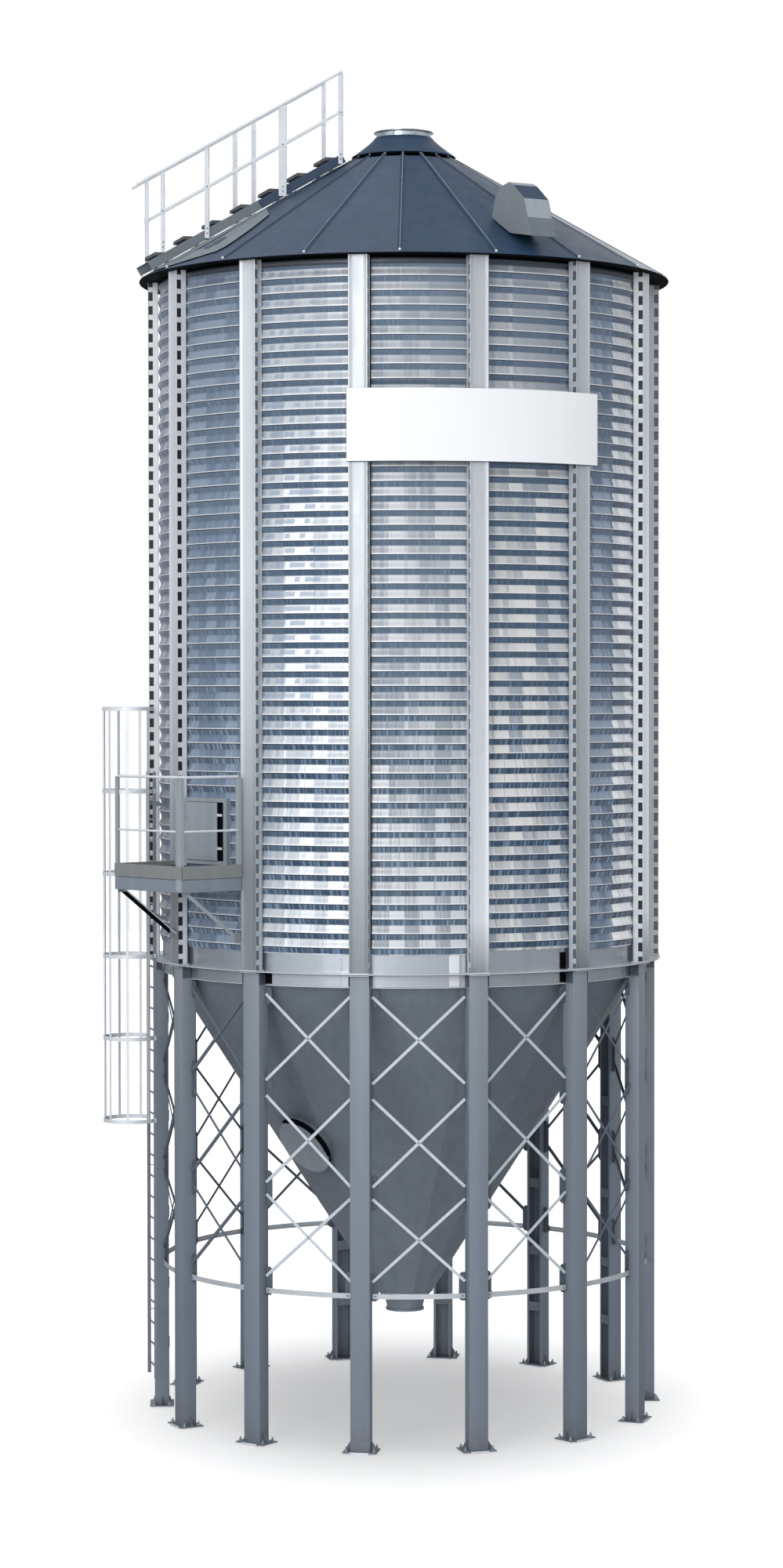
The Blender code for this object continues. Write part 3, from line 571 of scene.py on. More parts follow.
for k in range(N):
    look = BAY_LOOK[k]
    crest = CREST + (0.06 if look == "warm" else 0.0)
    z0 = RING_Z1 + 0.0005 + (0.040 if look == "warm" else 0.0)
    a0, a1 = leg_angle(k) - 0.15, leg_angle(k + 1) + 0.15
    rows = int(round((WALL_TOP - z0) / PITCH * 10))
    cols = 9
    zs = [z0 + (WALL_TOP - z0) * i / rows for i in range(rows + 1)]
    vs = []
    inset = 0.0012 * (k % 2)
    for t in (0.0, 0.004):
        for z in zs:
            r = wave(z, crest) - t - inset
            for j in range(cols + 1):
                a = math.radians(a0 + (a1 - a0) * j / cols)
                vs.append((AX + r * math.sin(a), -r * math.cos(a), z))
    n, half = cols + 1, (rows + 1) * (cols + 1)
    fs = []
    for i in range(rows):
        for j in range(cols):
            q = i * n + j
            fs.append([q, q + 1, q + n + 1, q + n])
            fs.append([half + q, half + q + n, half + q + n + 1, half + q + 1])
    for i in range(rows):
        for q in (i * n, i * n + cols):
            fs.append([q, q + n, half + q + n, half + q])
    for j in range(cols):
        for q in (j, rows * n + j):
            fs.append([q, q + 1, half + q + 1, half + q])
    b = Build()
    b.add(vs, fs, look, None, True)
    nodes = ["wall_panel_%02d" % (((k + 2) // 2) % 7 + 1)]
    sheet = b.done("wall_sheet_%02d" % (k + 1), nodes, 50)
    if k == 12:                                     # the doorway: a clean rectangle cut from the sheet
        cut = Build()
        cut.cbox((0.5, 0.838, 0.798), (3.05, 0, 7.305), "black", F(-50.5), c=0.0001)
        co = cut.done("door_cut")
        md = sheet.modifiers.new("doorway", "BOOLEAN")
        md.operation, md.solver, md.object = "DIFFERENCE", "EXACT", co
        bpy.context.view_layer.update()
        dg = bpy.context.evaluated_depsgraph_get()
        me = bpy.data.meshes.new_from_object(sheet.evaluated_get(dg))
        sheet.modifiers.clear()
        sheet.data = me
        bpy.data.objects.remove(co, do_unlink=True)

# black inner skin: painted shade, seen only past the sheets' edges
b = Build()
b.lathe([(3.034, 5.885), (3.034, 14.055), (3.024, 14.055), (3.024, 5.885)], "black", 84, -42.0, 300.0, frame=Matrix.Translation((AX, 0, 0)))
b.done("wall_backing", ())

# ---------------------------------------------------------------- wall stiffeners
STIFF = [(3.0812, -0.121), (3.0840, -0.121), (3.0840, -0.1095), (3.1990, -0.1095), (3.2000, -0.1145), (3.2035, -0.1150), (UP_R, -0.1120), (UP_R, -0.1020),
         (3.2010, -0.0960), (3.1960, -0.0860), (3.1920, -0.0720), (3.1905, -0.0520), (3.1905, 0.0520),
         (3.1920, 0.0720), (3.1960, 0.0860), (3.2010, 0.0960), (UP_R, 0.1020), (UP_R, 0.1120), (3.2035, 0.1150), (3.2000, 0.1145), (3.1990, 0.1095),
         (3.0840, 0.1095), (3.0840, 0.121), (3.0812, 0.121)]
for k in range(N):
    b = Build()
    f = F(leg_angle(k))
    # each stiffener takes the tones painted for its angle, and three take the higher-contrast painted flanks
    mt = {11: "stiff_l", 12: "stiff_l", 13: "stiff_l", 0: "stiff_f", 7: "stiff_f", 2: "stiff_c", 3: "stiff_e"}.get(k, "stiff_r")
    b.prism(STIFF, 5.6785, UP_TOP, mt, f, True)
    for s in (-1, 1):
        b.cbox((0.1130, 0.0040, UP_TOP - 5.6795), (3.1415, s * 0.1122, (UP_TOP + 5.6795) / 2), "tick_dark" if k in (11, 12, 3) else "tick", f, c=0.0008)
    b.cbox((0.160, 0.250, 0.0125), (3.1400, 0, 5.6720), "flange", f, c=0.002)      # foot plate on the ring
    for s in (-1, 1):
        for i in range(23):
            b.bolt((3.0840, s * 0.1172, CREST + PITCH * (2 * i + 0.5)), mt, 0.0035, 0.005, f, washer=False)
    for z in (8.420, 11.180):                       # splices
        b.cbox((0.003, 0.094, 0.30), (3.1919, 0, z), mt, f, c=0.001)
        for dz in (-0.10, 0.10):
            for u in (-0.03, 0.03):
                b.bolt((3.1933, u, z + dz), mt, 0.006, 0.006, f, washer=False)
    if k in (0, 7):                                  # the sheets' lap, open by a few millimetres
        # the black strip is painted shadow in the lap's gap
        b.cbox((0.0025, 0.012, 8.10), (3.0820, 0.1285, 10.00), "black", f, c=0.0004)
    b.done("wall_stiffener_%02d" % (k + 1), ["wall_panel_%02d" % (((k + 2) // 2) % 7 + 1)], 25)

# ------------------------------------------------------------------------- legs


def rounded(points, r, seg=3):
    """Round the corners of a closed outline."""
    out = []
    n = len(points)
    for i in range(n):
        p, a, c = Vector(points[i]), Vector(points[i - 1]), Vector(points[(i + 1) % n])
        d0, d1 = (a - p), (c - p)
        q = min(r, d0.length * 0.45, d1.length * 0.45)
        s, e = p + d0.normalized() * q, p + d1.normalized() * q
        for j in range(seg + 1):
            t = j / seg
            out.append(tuple((1 - t) ** 2 * s + 2 * t * (1 - t) * p + t ** 2 * e))
    return out


hw, t = LEG_W / 2, 0.008
back = LEG_R - LEG_D
LEG_OUT = [(LEG_R, -hw), (LEG_R, hw), (back, hw), (back, hw - 0.034), (back + t, hw - 0.034), (back + t, hw - t),
           (LEG_R - t, hw - t), (LEG_R - t, -hw + t), (back + t, -hw + t), (back + t, -hw + 0.034), (back, -hw + 0.034), (back, -hw)]
HEAD_OUT = [(LEG_R - 0.001, -hw + 0.001), (LEG_R - 0.001, hw - 0.001), (3.045, hw - 0.001), (3.045, hw - t), (LEG_R - t, hw - t),
            (LEG_R - t, -hw + t), (3.045, -hw + t), (3.045, -hw + 0.001)]
RZ = Matrix.Rotation(-math.pi / 2, 4, "Y")          # bolts pointing up
for k in range(N):
    b = Build()
    f = F(leg_angle(k))
    b.prism(rounded(LEG_OUT, 0.0075, 2), 0.030, 5.4885, "leg", f, True)
    b.prism(rounded(HEAD_OUT, 0.0065, 2), 5.4890, 5.6490, "leg", f, True)
    # base plate, levelling block, ribs, anchors
    b.cbox((0.300, 0.410, 0.013), (MID_R, 0, 0.0235), "leg", f, c=0.002)
    b.cbox((0.296, 0.228, 0.0165), (MID_R, 0, 0.00875), "foot", f, c=0.002)
    b.cbox((0.004, 0.226, 0.030), (LEG_R + 0.0585, 0, 0.0150), "foot", f, c=0.001)
    for s in (-1, 1):
        b.prism([(0, 0), (0.075, 0), (0.075, 0.012), (0.012, 0.110), (0, 0.110)], -0.004, 0.004, "leg",
                f @ Matrix.Translation((MID_R, s * (hw + 0.0005), 0.0302)) @ Matrix.Rotation(math.pi / 2 * s, 4, "Z")
                @ Matrix.Rotation(math.pi / 2, 4, "X"))
        for n in (-0.095, 0.095):
            at = (MID_R + n, s * 0.168, 0.030)
            b.bolt(at, "bolt", 0.020, 0.024, f, RZ)
            b.tube([(at[0], at[1], 0.045), (at[0], at[1], 0.082)], 0.0095, "bolt", 10, f)
    # stitch plates closing the open back
    for z in (0.80, 1.55, 2.45, 3.66, 4.90):
        # the stitch plates take the darker copy of the leg paint: painted shade
        b.cbox((0.006, LEG_W - 0.060, 0.120), (back - 0.0035, 0, z), "leg_side", f, c=0.0015)
    # splice bolts at the head, on the face's edges
    for s in (-1, 1):
        for z in (5.53, 5.60):
            b.bolt((3.10, s * (hw - 0.0008), z), "bolt", 0.009, 0.009, f, Matrix.Rotation(math.pi / 2 * s, 4, "Z"))
    b.done("leg_post_%02d" % (k + 1), ["leg_%02d" % (k + 1)], 30)

# ---------------------------------------------------------------------- bracing
be = CLEAR - 0.004
for k in range(N):
    b = Build()
    f = F(leg_angle(k + 0.5))
    n0 = BAY_N
    # bays away from the front take the shaded copy of the brace finish: painted shade
    mt = "brace" if k in (13, 0, 1) else "brace_dark"
    for z0, z1 in TIERS:
        b.bar((n0 + 0.0055, -be, z0), (n0 + 0.0055, be, z1), 0.036, 0.006, mt, f)
        d = Vector((0, 2 * be, z1 - z0)).normalized()
        up = Vector((0, -d.z, d.y))
        o1 = Vector((n0 - 0.0090, 0, 0)) - up * 0.0150
        b.bar(Vector((0, -be, z0)) + o1, Vector((0, be, z1)) + o1, 0.005, 0.022, mt, f)      # its outstanding leg
        b.bar((n0 - 0.0035, -be, z1), (n0 - 0.0035, be, z0), 0.036, 0.006, mt, f)
        b.bolt((n0 + 0.0085, 0, (z0 + z1) / 2), "bolt", 0.009, 0.008, f)
        for s in (-1, 1):
            for zz in (z0, z1):
                up_end = (s > 0) == (zz == z1)
                b.bolt((n0 + (0.0085 if up_end else -0.0005), s * (be - 0.028), zz - (0.025 if zz == z1 else -0.025)), mt, 0.007, 0.007, f, washer=False)
    for s in (-1, 1):
        for z0, z1 in ((5.27, 5.475), (4.05, 4.49), (2.86, 3.28), (1.79, 2.13)):
            w = 0.078
            out = [(-w / 2, z0), (w / 2, z0), (w / 2, z1), (-w / 2, z1)]
            out = [(x, z) for x, z in ((-w / 2, z0 + 0.0), (w / 2 - 0.03, z0), (w / 2, z0 + 0.035), (w / 2, z1 - 0.035), (w / 2 - 0.03, z1), (-w / 2, z1))]
            g = f @ Matrix.Translation((n0 - 0.0155, s * (CLEAR - 0.040), 0)) @ Matrix(((0, 0, 1, 0), (-s, 0, 0, 0), (0, 1, 0, 0), (0, 0, 0, 1)))
            b.prism(out, -0.004, 0.004, "gusset", g)
    # curved tie with a small lip
    b.lathe([(3.046, 1.881), (3.041, 1.881), (3.041, 1.825), (3.028, 1.825), (3.028, 1.819), (3.046, 1.819)], "tie", 10,
            leg_angle(k + 0.5) - 10.35, leg_angle(k + 0.5) + 10.35, frame=Matrix.Translation((AX, 0, 0)))
    for s in (-1, 1):
        ff = F(leg_angle(k + 0.5) + s * 9.7)
        b.cbox((0.007, 0.075, 0.085), (3.0365, 0, 1.850), "gusset", ff, c=0.0015)
        b.bolt((3.0465, 0, 1.850), "bolt", 0.010, 0.009, ff)
    b.done("bracing_%02d" % (k + 1), ["bracing_bay_%02d" % (k + 1)], 30)

# -------------------------------------------------------------------- ring beam
C0 = Matrix.Translation((AX, 0, 0))
b = Build()
b.lathe([(3.040, 5.8795), (3.040, FL_Z1 + 0.0002), (3.020, FL_Z1 + 0.0002), (3.020, 5.8795)], "band", 126, frame=C0)
b.lathe([(3.040, FL_Z0 - 0.0002), (3.040, 5.5040), (3.0435, 5.5020), (3.0435, 5.4925), (3.040, 5.4905), (2.850, 5.4905), (2.850, 5.500),
         (3.022, 5.508), (3.022, FL_Z0 - 0.0002)], "band", 126, frame=C0)
# a bead along the lower edge in the near-white strap finish: a real bead with a painted highlight
b.lathe([(3.0445, 5.4980), (3.0460, 5.4945), (3.0445, 5.4910), (3.0430, 5.4910), (3.0430, 5.4980)], "strap", 126, frame=C0)
b.lathe([(FL_R, FL_Z0 + 0.0055), (FL_R, FL_Z1), (2.945, FL_Z1), (2.945, FL_Z0 + 0.0055)], "flange", 126, frame=C0)
# black underside of the flange: painted shadow under it
b.lathe([(FL_R - 0.003, FL_Z0), (FL_R - 0.003, FL_Z0 + 0.0053), (2.945, FL_Z0 + 0.0053), (2.945, FL_Z0)], "black", 126, frame=C0)
for k in range(N):
    f = F(leg_angle(k))
    b.cbox((0.165, 0.245, 0.0080), (3.1300, 0, 5.6450), "flange", f, c=0.002)
    if BAY_LOOK[k] == "warm":                        # this bay's band reaches a little higher
        b.lathe([(3.0405, 5.9190), (3.0405, 5.8780), (3.0360, 5.8780), (3.0360, 5.9190)], "band", 9, leg_angle(k) + 1.5, leg_angle(k + 1) - 1.5, frame=C0)
    # laps between the ring's plates
    a = leg_angle(k) + STEP * 0.808
    # the laps at bays 0 and 7 are near-white and flange-grey: real lap plates with a painted highlight
    for a, w, mt in ((a, 1.15, "strap"), (a + 2.15, 0.43, "flange")) if k in (0, 7) else ((a, 0.50, "band"),):
        for z0, z1 in ((5.667, 5.8785), (5.506, 5.6400)):
            b.lathe([(3.0440, z0), (3.0440, z1), (3.0395, z1), (3.0395, z0)], mt, 4, a - w, a + w, frame=C0)
            if w > 0.45:
                for i in range(2):
                    b.bolt((3.0440, 0, z0 + (z1 - z0) * (0.22 + 0.56 * i)), mt, 0.0075, 0.007, F(a + w * 0.4))
    # stiffening cleats under the flange, beside the leg
    for s in (-1, 1):
        b.cbox((0.110, 0.006, 0.130), (3.0990, s * (hw + 0.0120), 5.5700), "gusset", f, c=0.001)
    # the hopper hung on the band: a row of bolts near the lower edge
    for j in range(8):
        a = leg_angle(k) + STEP * (0.14 + 0.72 * j / 7)
        b.bolt((3.0400, 0, 5.535), "band", 0.0060, 0.006, F(a), washer=False)
# black plates on the band beside two of the legs: painted shadow in the gaps there
for k, s, z0, z1 in ((13, 1, 5.512, 5.642), (2, -1, 5.512, 5.642), (2, -1, 5.672, 5.872)):
    b.cbox((0.0045, 0.090, z1 - z0), (3.0395, s * (hw + 0.058), (z0 + z1) / 2), "black", F(leg_angle(k)), c=0.001)
b.done("ring_band", ["ring_beam"], 30)

# ----------------------------------------------------------------------- hopper
cone_slope = math.atan2(CONE_Z0 - CONE_Z1, CONE_R0 - CONE_R1)
b = Build()
for k in range(N):
    a = math.radians(leg_angle(k))
    for side in (-1, 1):
        # two rows of rivets beside each fold
        for i in range(20):
            q = (i + 0.5) / 20
            r = CONE_R0 + (CONE_R1 - CONE_R0) * q
            z = CONE_Z0 + (CONE_Z1 - CONE_Z0) * q
            if z > 5.40 or r < 0.55:
                continue
            ang = leg_angle(k) + side * math.degrees(math.asin(0.028 / r))
            dist = math.hypot(r * math.sin(math.radians(ang + 46.0)), z - 3.455)
            if dist < 0.5 and abs(ang + 48) < 14:
                continue
            fac = math.cos(math.radians(STEP / 2)) / math.cos(math.radians(STEP / 2 - abs(ang - leg_angle(k))))
            fn = F(leg_angle(k) + side * STEP / 2)
            loc = F(ang) @ Vector((r * fac, 0, z))
            m = fn.copy()
            m.translation = loc
            m = m @ Matrix.Rotation(math.pi / 2 - cone_slope, 4, "Y")
            b.bolt((0.0002, 0, 0), "cone", 0.0075, 0.006, m, washer=False)
b.done("hopper_rivets", ())

HT, HZ, HR = -46.0, 3.455, 0.385
flat = math.cos(math.pi / N) / math.cos(math.radians(HT - (TH0 - 1.5 * STEP)))
hr = (CONE_R1 + (HZ - CONE_Z1) / math.tan(cone_slope)) * flat
hf = F(HT, hr, HZ) @ Matrix.Rotation(math.pi / 2 + (math.pi / 2 - cone_slope), 4, "Y")
b = Build()
b.lathe([(0.0001, 0.1140), (0.345, 0.1140), (0.355, 0.1120), (0.3845, 0.1120), (0.3845, 0.1300), (0.3800, 0.1345), (0.3600, 0.1348),
         (0.3520, 0.1310), (0.3400, 0.1295), (0.0001, 0.1295)], "hatch", 56, frame=hf)
for i in range(12):
    a = math.radians(30 * i + 15)
    b.bolt((0.367 * math.cos(a), 0.367 * math.sin(a), 0.1340), "hatch", 0.008, 0.0010, hf, RZ)
b.done("hatch_lid", ["hatch_cover"], 30)
b = Build()
# black rings round the lid, widest at its upper right: painted shadow in the gap between lid and cone
b.lathe([(0.3755, 0.066), (0.3755, 0.1090), (0.3500, 0.1090), (0.3500, 0.066)], "black", 48, frame=hf)
b.lathe([(0.4160, 0.090), (0.4160, 0.1380), (0.3855, 0.1380), (0.3855, 0.090)], "black", 24, 168.0, 292.0, frame=hf)
b.lathe([(0.3850, 0.1352), (0.3850, 0.1380), (0.3740, 0.1380), (0.3740, 0.1352)], "black", 24, 176.0, 284.0, frame=hf)
b.done("hatch_shadow_gap", ())

b = Build()
dt = 0.040 / math.sin(cone_slope)
b.lathe([(0.352, 1.4390), (0.3560, 1.4390), (0.3560, 1.4250), (0.3450, 1.4200), (0.2480, 1.3120), (0.2240, 1.2180), (0.2240, 1.2130), (0.2420, 1.2110),
         (0.2420, 1.1860), (0.1900, 1.1860), (0.1900, 1.3100), (CONE_R1 - dt, 1.4390)], "cone", 56, frame=C0)
for i in range(16):
    a = 22.5 * i + 8
    b.bolt((0.2310, 0, 1.2115), "bolt", 0.0065, 0.006, F(a), RZ, washer=False)
b.done("outlet_collar", ["hopper_outlet"], 30)

# ------------------------------------------------------------------------- roof
b = Build()
r_top = 0.700


def roof_z(r):
    return ROOF_Z + (ROOF_R - r) * SLOPE_T


# sectors 0 to 3 take darker and paler copies of the coating: painted reflection by sector
ROOF_SECTOR_REFLECTION = {0: "roof_blue", 1: "roof_blue", 2: "roof_mid", 3: "roof_edge"}
for i in range(SECTORS):
    a0 = ROOF_TH + 20.0 * i + 0.02
    b.lathe([(ROOF_R - 0.0005, ROOF_Z - 0.0008), (ROOF_R - 0.0005, ROOF_Z - 0.0050), (r_top, roof_z(r_top) - 0.012), (r_top, roof_z(r_top))],
            ROOF_SECTOR_REFLECTION.get(i, "roof"), 6, a0, a0 + 19.96, frame=C0)
sheets = b.done("roof_sectors", ["roof_cone"])

b = Build()
for i in range(SECTORS):
    f = F(ROOF_TH + 20.0 * i)
    p0 = Vector((ROOF_R - 0.050, 0, roof_z(ROOF_R - 0.050)))
    p1 = Vector((r_top - 0.035, 0, roof_z(r_top - 0.035)))
    nrm = Vector((math.sin(SLOPE), 0, math.cos(SLOPE)))
    # the ribs of sectors 0, 1, 9 and 17 stand taller in the lighter rib finish, a painted highlight; the others take
    # their sector's coating
    pale = i in (0, 1, 17, 9)
    own = ROOF_SECTOR_REFLECTION.get(i, "roof")
    b.bar(p0 + nrm * 0.002, p1 + nrm * 0.002, 0.056, 0.004, own, f, nrm, 0.001)        # foot of the rib
    h = 0.013 if pale else 0.005
    b.bar(p0 + nrm * (0.003 + h), p1 + nrm * (0.003 + h), 0.011, 2 * h, "rib" if pale else own, f, nrm, 0.002)      # standing rib
    b.cbox((0.026, 0.030, 0.028), Vector((ROOF_R - 0.034, 0, roof_z(ROOF_R - 0.034))) + nrm * 0.010, "strap", f, Matrix.Rotation(SLOPE, 4, "Y"), 0.006)
    for j in range(9):
        r = ROOF_R - 0.16 - j * 0.29
        for s in (-1, 1):
            b.bolt(Vector((r, s * 0.019, roof_z(r))) + nrm * 0.0052, own, 0.005, 0.004, f, Matrix.Rotation(-(math.pi / 2 - SLOPE), 4, "Y"), washer=False)
b.done("roof_ribs", (), 30)

b = Build()
# black ring at the wall top and black sheet under the roof's edge: the eave trim, made black as painted shade under the
# eave
b.lathe([(3.0450, 14.0605), (3.0450, 14.0895), (3.0020, 14.0895), (3.0020, 14.0605)], "black", 108, frame=C0)
b.lathe([(3.3130, 14.0905), (3.3130, 14.0945), (3.0200, 14.0945), (3.0200, 14.0905)], "black", 108, frame=C0)
b.done("eave_trim", ["eave_ring"], 30)

# cap, filling ring and lid
b = Build()
b.lathe([(0.655, 15.6650), (0.648, 15.6760), (0.600, 15.7080), (0.530, 15.7600), (0.460, 15.8140), (0.400, 15.8680), (0.364, 15.9100), (0.352, 15.9120),
         (0.385, 15.8680), (0.450, 15.8060), (0.530, 15.7420), (0.600, 15.6900), (0.640, 15.6640)], "roof_blue", 72, frame=C0)
for i in range(SECTORS):
    f = F(ROOF_TH + 20.0 * i)
    b.cbox((0.012, 0.024, 0.022), (0.642, 0, 15.6480), "rib", f, c=0.002)
# black ring under the cap's rim: painted shadow in the gap
b.lathe([(0.580, 15.690), (0.648, 15.6600), (0.638, 15.6400), (0.570, 15.675)], "black", 60, frame=C0)
b.done("cap_skirt", ["roof_cap"], 35)
b = Build()
b.lathe([(0.3450, 15.9165), (0.3450, 15.9640), (0.3520, 15.9710), (0.3740, 15.9780), (0.3746, 15.9840), (0.3700, 15.9875), (0.3560, 15.9875),
         (0.3320, 15.9640), (0.3320, 15.9165)], "ring", 72, frame=C0)
b.lathe([(0.3510, 15.9168), (0.3510, 15.9260), (0.3452, 15.9260), (0.3452, 15.9168)], "ring", 72, frame=C0)
for i in range(8):
    f = F(22.5 + 45 * i)
    b.cbox((0.014, 0.026, 0.040), (0.3530, 0, 15.9470), "ring", f, c=0.003)
    b.bolt((0.3600, 0, 15.9470), "bolt", 0.005, 0.005, f, washer=False)
b.done("filling_ring", ["inlet_ring"], 35)
b = Build()
b.lathe([(0.0001, 15.9360), (0.322, 15.9360), (0.3285, 15.9400), (0.3240, 15.9460), (0.290, 15.9490), (0.0001, 15.9525)], "ring", 60, frame=C0)
b.tube([(AX - 0.10, 0, 15.948), (AX - 0.09, 0, 15.977), (AX + 0.09, 0, 15.977), (AX + 0.10, 0, 15.948)], 0.008, "bolt", 10)
b.done("ring_lid", ["inlet_lid"], 35)

# -------------------------------------------------------------------- vent hood
HOOD_TH, HOOD_W = 30.0, 0.345
SIDE = [(2.404, 14.648), (2.560, 14.553), (2.820, 14.411), (3.265, 14.334), (3.207, 14.556), (3.127, 14.786), (2.878, 14.973), (2.790, 15.016), (2.602, 14.982),
        (2.483, 14.878), (2.440, 14.765)]
hfm = F(HOOD_TH) @ Matrix.Rotation(math.pi / 2, 4, "X")      # local X outward, Y up, Z sideways
b = Build()
for s in (-1, 1):
    z = s * (HOOD_W / 2 - 0.006)
    b.prism(rounded(SIDE, 0.012, 2), min(z, z + s * 0.005), max(z, z + s * 0.005), "grey", hfm)
# the hood's facets take different finishes (grey_dark, grey_light, roof_blue, grey): painted light and reflection by
# facet
skin = [(SIDE[3], SIDE[4], "grey_dark"), (SIDE[4], SIDE[5], "grey_light"), (SIDE[5], SIDE[6], "roof_blue"), (SIDE[6], SIDE[7], "grey"), (SIDE[7], SIDE[8], "grey"),
        (SIDE[8], SIDE[9], "grey"), (SIDE[9], SIDE[10], "grey"), (SIDE[10], SIDE[0], "grey")]
for p, q, mt in skin:
    d = (Vector(q) - Vector(p)).normalized()
    nn = Vector((d.y, -d.x)) * 0.006
    b.prism([p, q, tuple(Vector(q) - nn), tuple(Vector(p) - nn)], -HOOD_W / 2 + 0.007, HOOD_W / 2 - 0.007, mt, hfm)
# black strips along the hood's sides and black slats in its open bottom: painted shadow between the hood and the roof
for s in (-1, 1):
    b.bar((2.43, s * (HOOD_W / 2 - 0.020), 14.632), (2.80, s * (HOOD_W / 2 - 0.020), 14.418), 0.03, 0.02, "black", F(HOOD_TH), (0, 1, 0))
for i in range(5):
    b.bar((2.60 + 0.14 * i, -HOOD_W / 2 + 0.01, 14.56 - 0.035 * i), (2.60 + 0.14 * i, HOOD_W / 2 - 0.01, 14.56 - 0.035 * i), 0.004, 0.09, "black", F(HOOD_TH), (0.5, 0, 1), 0.0005)
b.done("vent_hood", ["roof_vent_hood"], 30)

# ------------------------------------------------------------------- roof stair
ST, SW = -74.0, 0.640
sf = F(ST)
NRM = Vector((math.sin(SLOPE), 0, math.cos(SLOPE)))
SR = Matrix.Rotation(SLOPE, 4, "Y")


def on_slope(r, h, u):
    return Vector((r, u, roof_z(r))) + NRM * h


b = Build()
for s in (1, -1):
    u = s * (SW / 2 + 0.016)
    for r0, r1, mt in ((3.285, 1.90, "grey_dark"), (1.90, 0.83, "roof")):
        b.bar(on_slope(r0, 0.076, u), on_slope(r1, 0.076, u), 0.112, 0.005, mt, sf, (0, 1, 0))
        for h in (0.022, 0.129):
            b.bar(on_slope(r0, h, u - s * 0.016), on_slope(r1, h, u - s * 0.016), 0.005, 0.032, mt, sf, (0, 1, 0))
# a plate lying on the roof beside the lower run, its outer edge curved, with a black layer beneath it as painted shadow
# under the edge
EDGE = [(-73.9 + 6.2, 3.295), (-62.65, 3.300), (-54.0, 3.207), (-46.9, 3.070), (-46.0, 2.960), (-46.0, 2.815), (-47.1, 2.458), (-49.5, 2.154)]
top, low = [], []
for a, r in EDGE:
    x, y = r * math.cos(math.radians(a - ST)), r * math.sin(math.radians(a - ST))
    top.append((x, y))
    low.append((x, SW / 2 + 0.021))
top.append((1.86, SW / 2 + 0.030))
low.append((1.86, SW / 2 + 0.021))
for z0, z1, mt, inset in ((0.016, 0.022, "plate", 0.0), (0.002, 0.0155, "black", 0.004)):
    vs = []
    for h in (z1, z0):
        for p, q in zip(top, low):
            p = (p[0], max(q[1] + 0.006, p[1] - inset))
            vs += [(*p, roof_z(math.hypot(*p)) + h), (*q, roof_z(math.hypot(*q)) + h)]
    n = len(top)
    fs = []
    for i in range(n - 1):
        fs += [[2 * i, 2 * i + 1, 2 * i + 3, 2 * i + 2], [2 * n + 2 * i, 2 * n + 2 * i + 2, 2 * n + 2 * i + 3, 2 * n + 2 * i + 1],
               [2 * i, 2 * i + 2, 2 * n + 2 * i + 2, 2 * n + 2 * i], [2 * i + 1, 2 * n + 2 * i + 1, 2 * n + 2 * i + 3, 2 * i + 3]]
    fs += [[0, 2 * n, 2 * n + 1, 1], [2 * n - 2, 2 * n - 1, 4 * n - 1, 4 * n - 2]]
    b.add(vs, fs, mt, sf)
for i in range(7):
    r = 3.13 - i * 0.360
    z = roof_z(r) + 0.135
    for j in range(9):
        b.cbox((0.005, SW - 0.045, 0.030), (r - 0.108 + 0.027 * j, 0, z + 0.002), "grating", sf, c=0.0008)
    for j in range(7):
        b.cbox((0.215, 0.006, 0.006), (r, -0.26 + 0.0867 * j, z + 0.012), "grating", sf, c=0.001)
    for s in (-1, 1):
        b.cbox((0.228, 0.005, 0.040), (r, s * (SW / 2 - 0.026), z - 0.002), "grating", sf, c=0.001)
    b.cbox((0.010, SW - 0.050, 0.042), (r + 0.117, 0, z - 0.002), "grating", sf, c=0.002)
    b.cbox((0.008, SW - 0.050, 0.042), (r - 0.117, 0, z - 0.002), "grating", sf, c=0.002)
for i in range(5):                                  # feet on the roof
    r = 3.10 - 0.52 * i
    for s in (-1, 1):
        b.cbox((0.16, 0.070, 0.006), on_slope(r, 0.012, s * (SW / 2)), "grey_dark", sf, SR, 0.001)
        b.cbox((0.06, 0.006, 0.030), on_slope(r, 0.024, s * (SW / 2)), "grey_dark", sf, SR, 0.001)
b.done("stair_flight", ["roof_stair"], 30)

def rail_z(r):
    return roof_z(r) + 1.168


for name, node, s, posts, lo in (("stair_rail_near", "stair_railing_near", 1, ((3.165, 0.050), (2.61, 0.060), (1.655, 0.100), (0.914, 0.060)), 3.485),
                                 ("stair_rail_far", "stair_railing_far", -1, ((3.215, 0.046), (2.09, 0.052), (1.85, 0.052), (0.945, 0.046)), 3.400)):
    b = Build()
    u = s * (SW / 2 + 0.040)
    hi = min(p for p, _ in posts) - 0.018
    b.bar((lo, u, rail_z(lo) - 0.002), (hi, u, rail_z(hi) - 0.002), 0.036, 0.030, "rail", sf, (0, 1, 0), 0.008)
    top = max(p for p, _ in posts)
    b.bar((top - 0.01, u, rail_z(top) - 0.50), (hi + 0.01, u, rail_z(hi) - 0.50), 0.034, 0.012, "rail", sf, (0, 1, 0), 0.003)
    for r, w in posts:
        z0, z1 = roof_z(r) + (0.17 if r == 3.165 else 0.035), rail_z(r) - 0.012
        b.cbox((w, 0.010, z1 - z0), (r, u, (z0 + z1) / 2), "rail", sf, c=0.003)
        b.cbox((0.010, 0.030, z1 - z0), (r - w / 2 + 0.005, u - s * 0.010, (z0 + z1) / 2), "rail", sf, c=0.002)
        b.cbox((w + 0.012, 0.018, 0.060), (r, u, rail_z(r) - 0.50), "rail", sf, c=0.003)
        b.bolt((r, u + s * 0.0090, rail_z(r) - 0.50), "bolt", 0.008, 0.007, sf, Matrix.Rotation(math.pi / 2 * s, 4, "Z"))
        for dz in (0.06, 0.12):
            b.bolt((r, u + s * 0.0050, z0 + dz), "bolt", 0.008, 0.007, sf, Matrix.Rotation(math.pi / 2 * s, 4, "Z"))
    b.done(name, [node], 30)

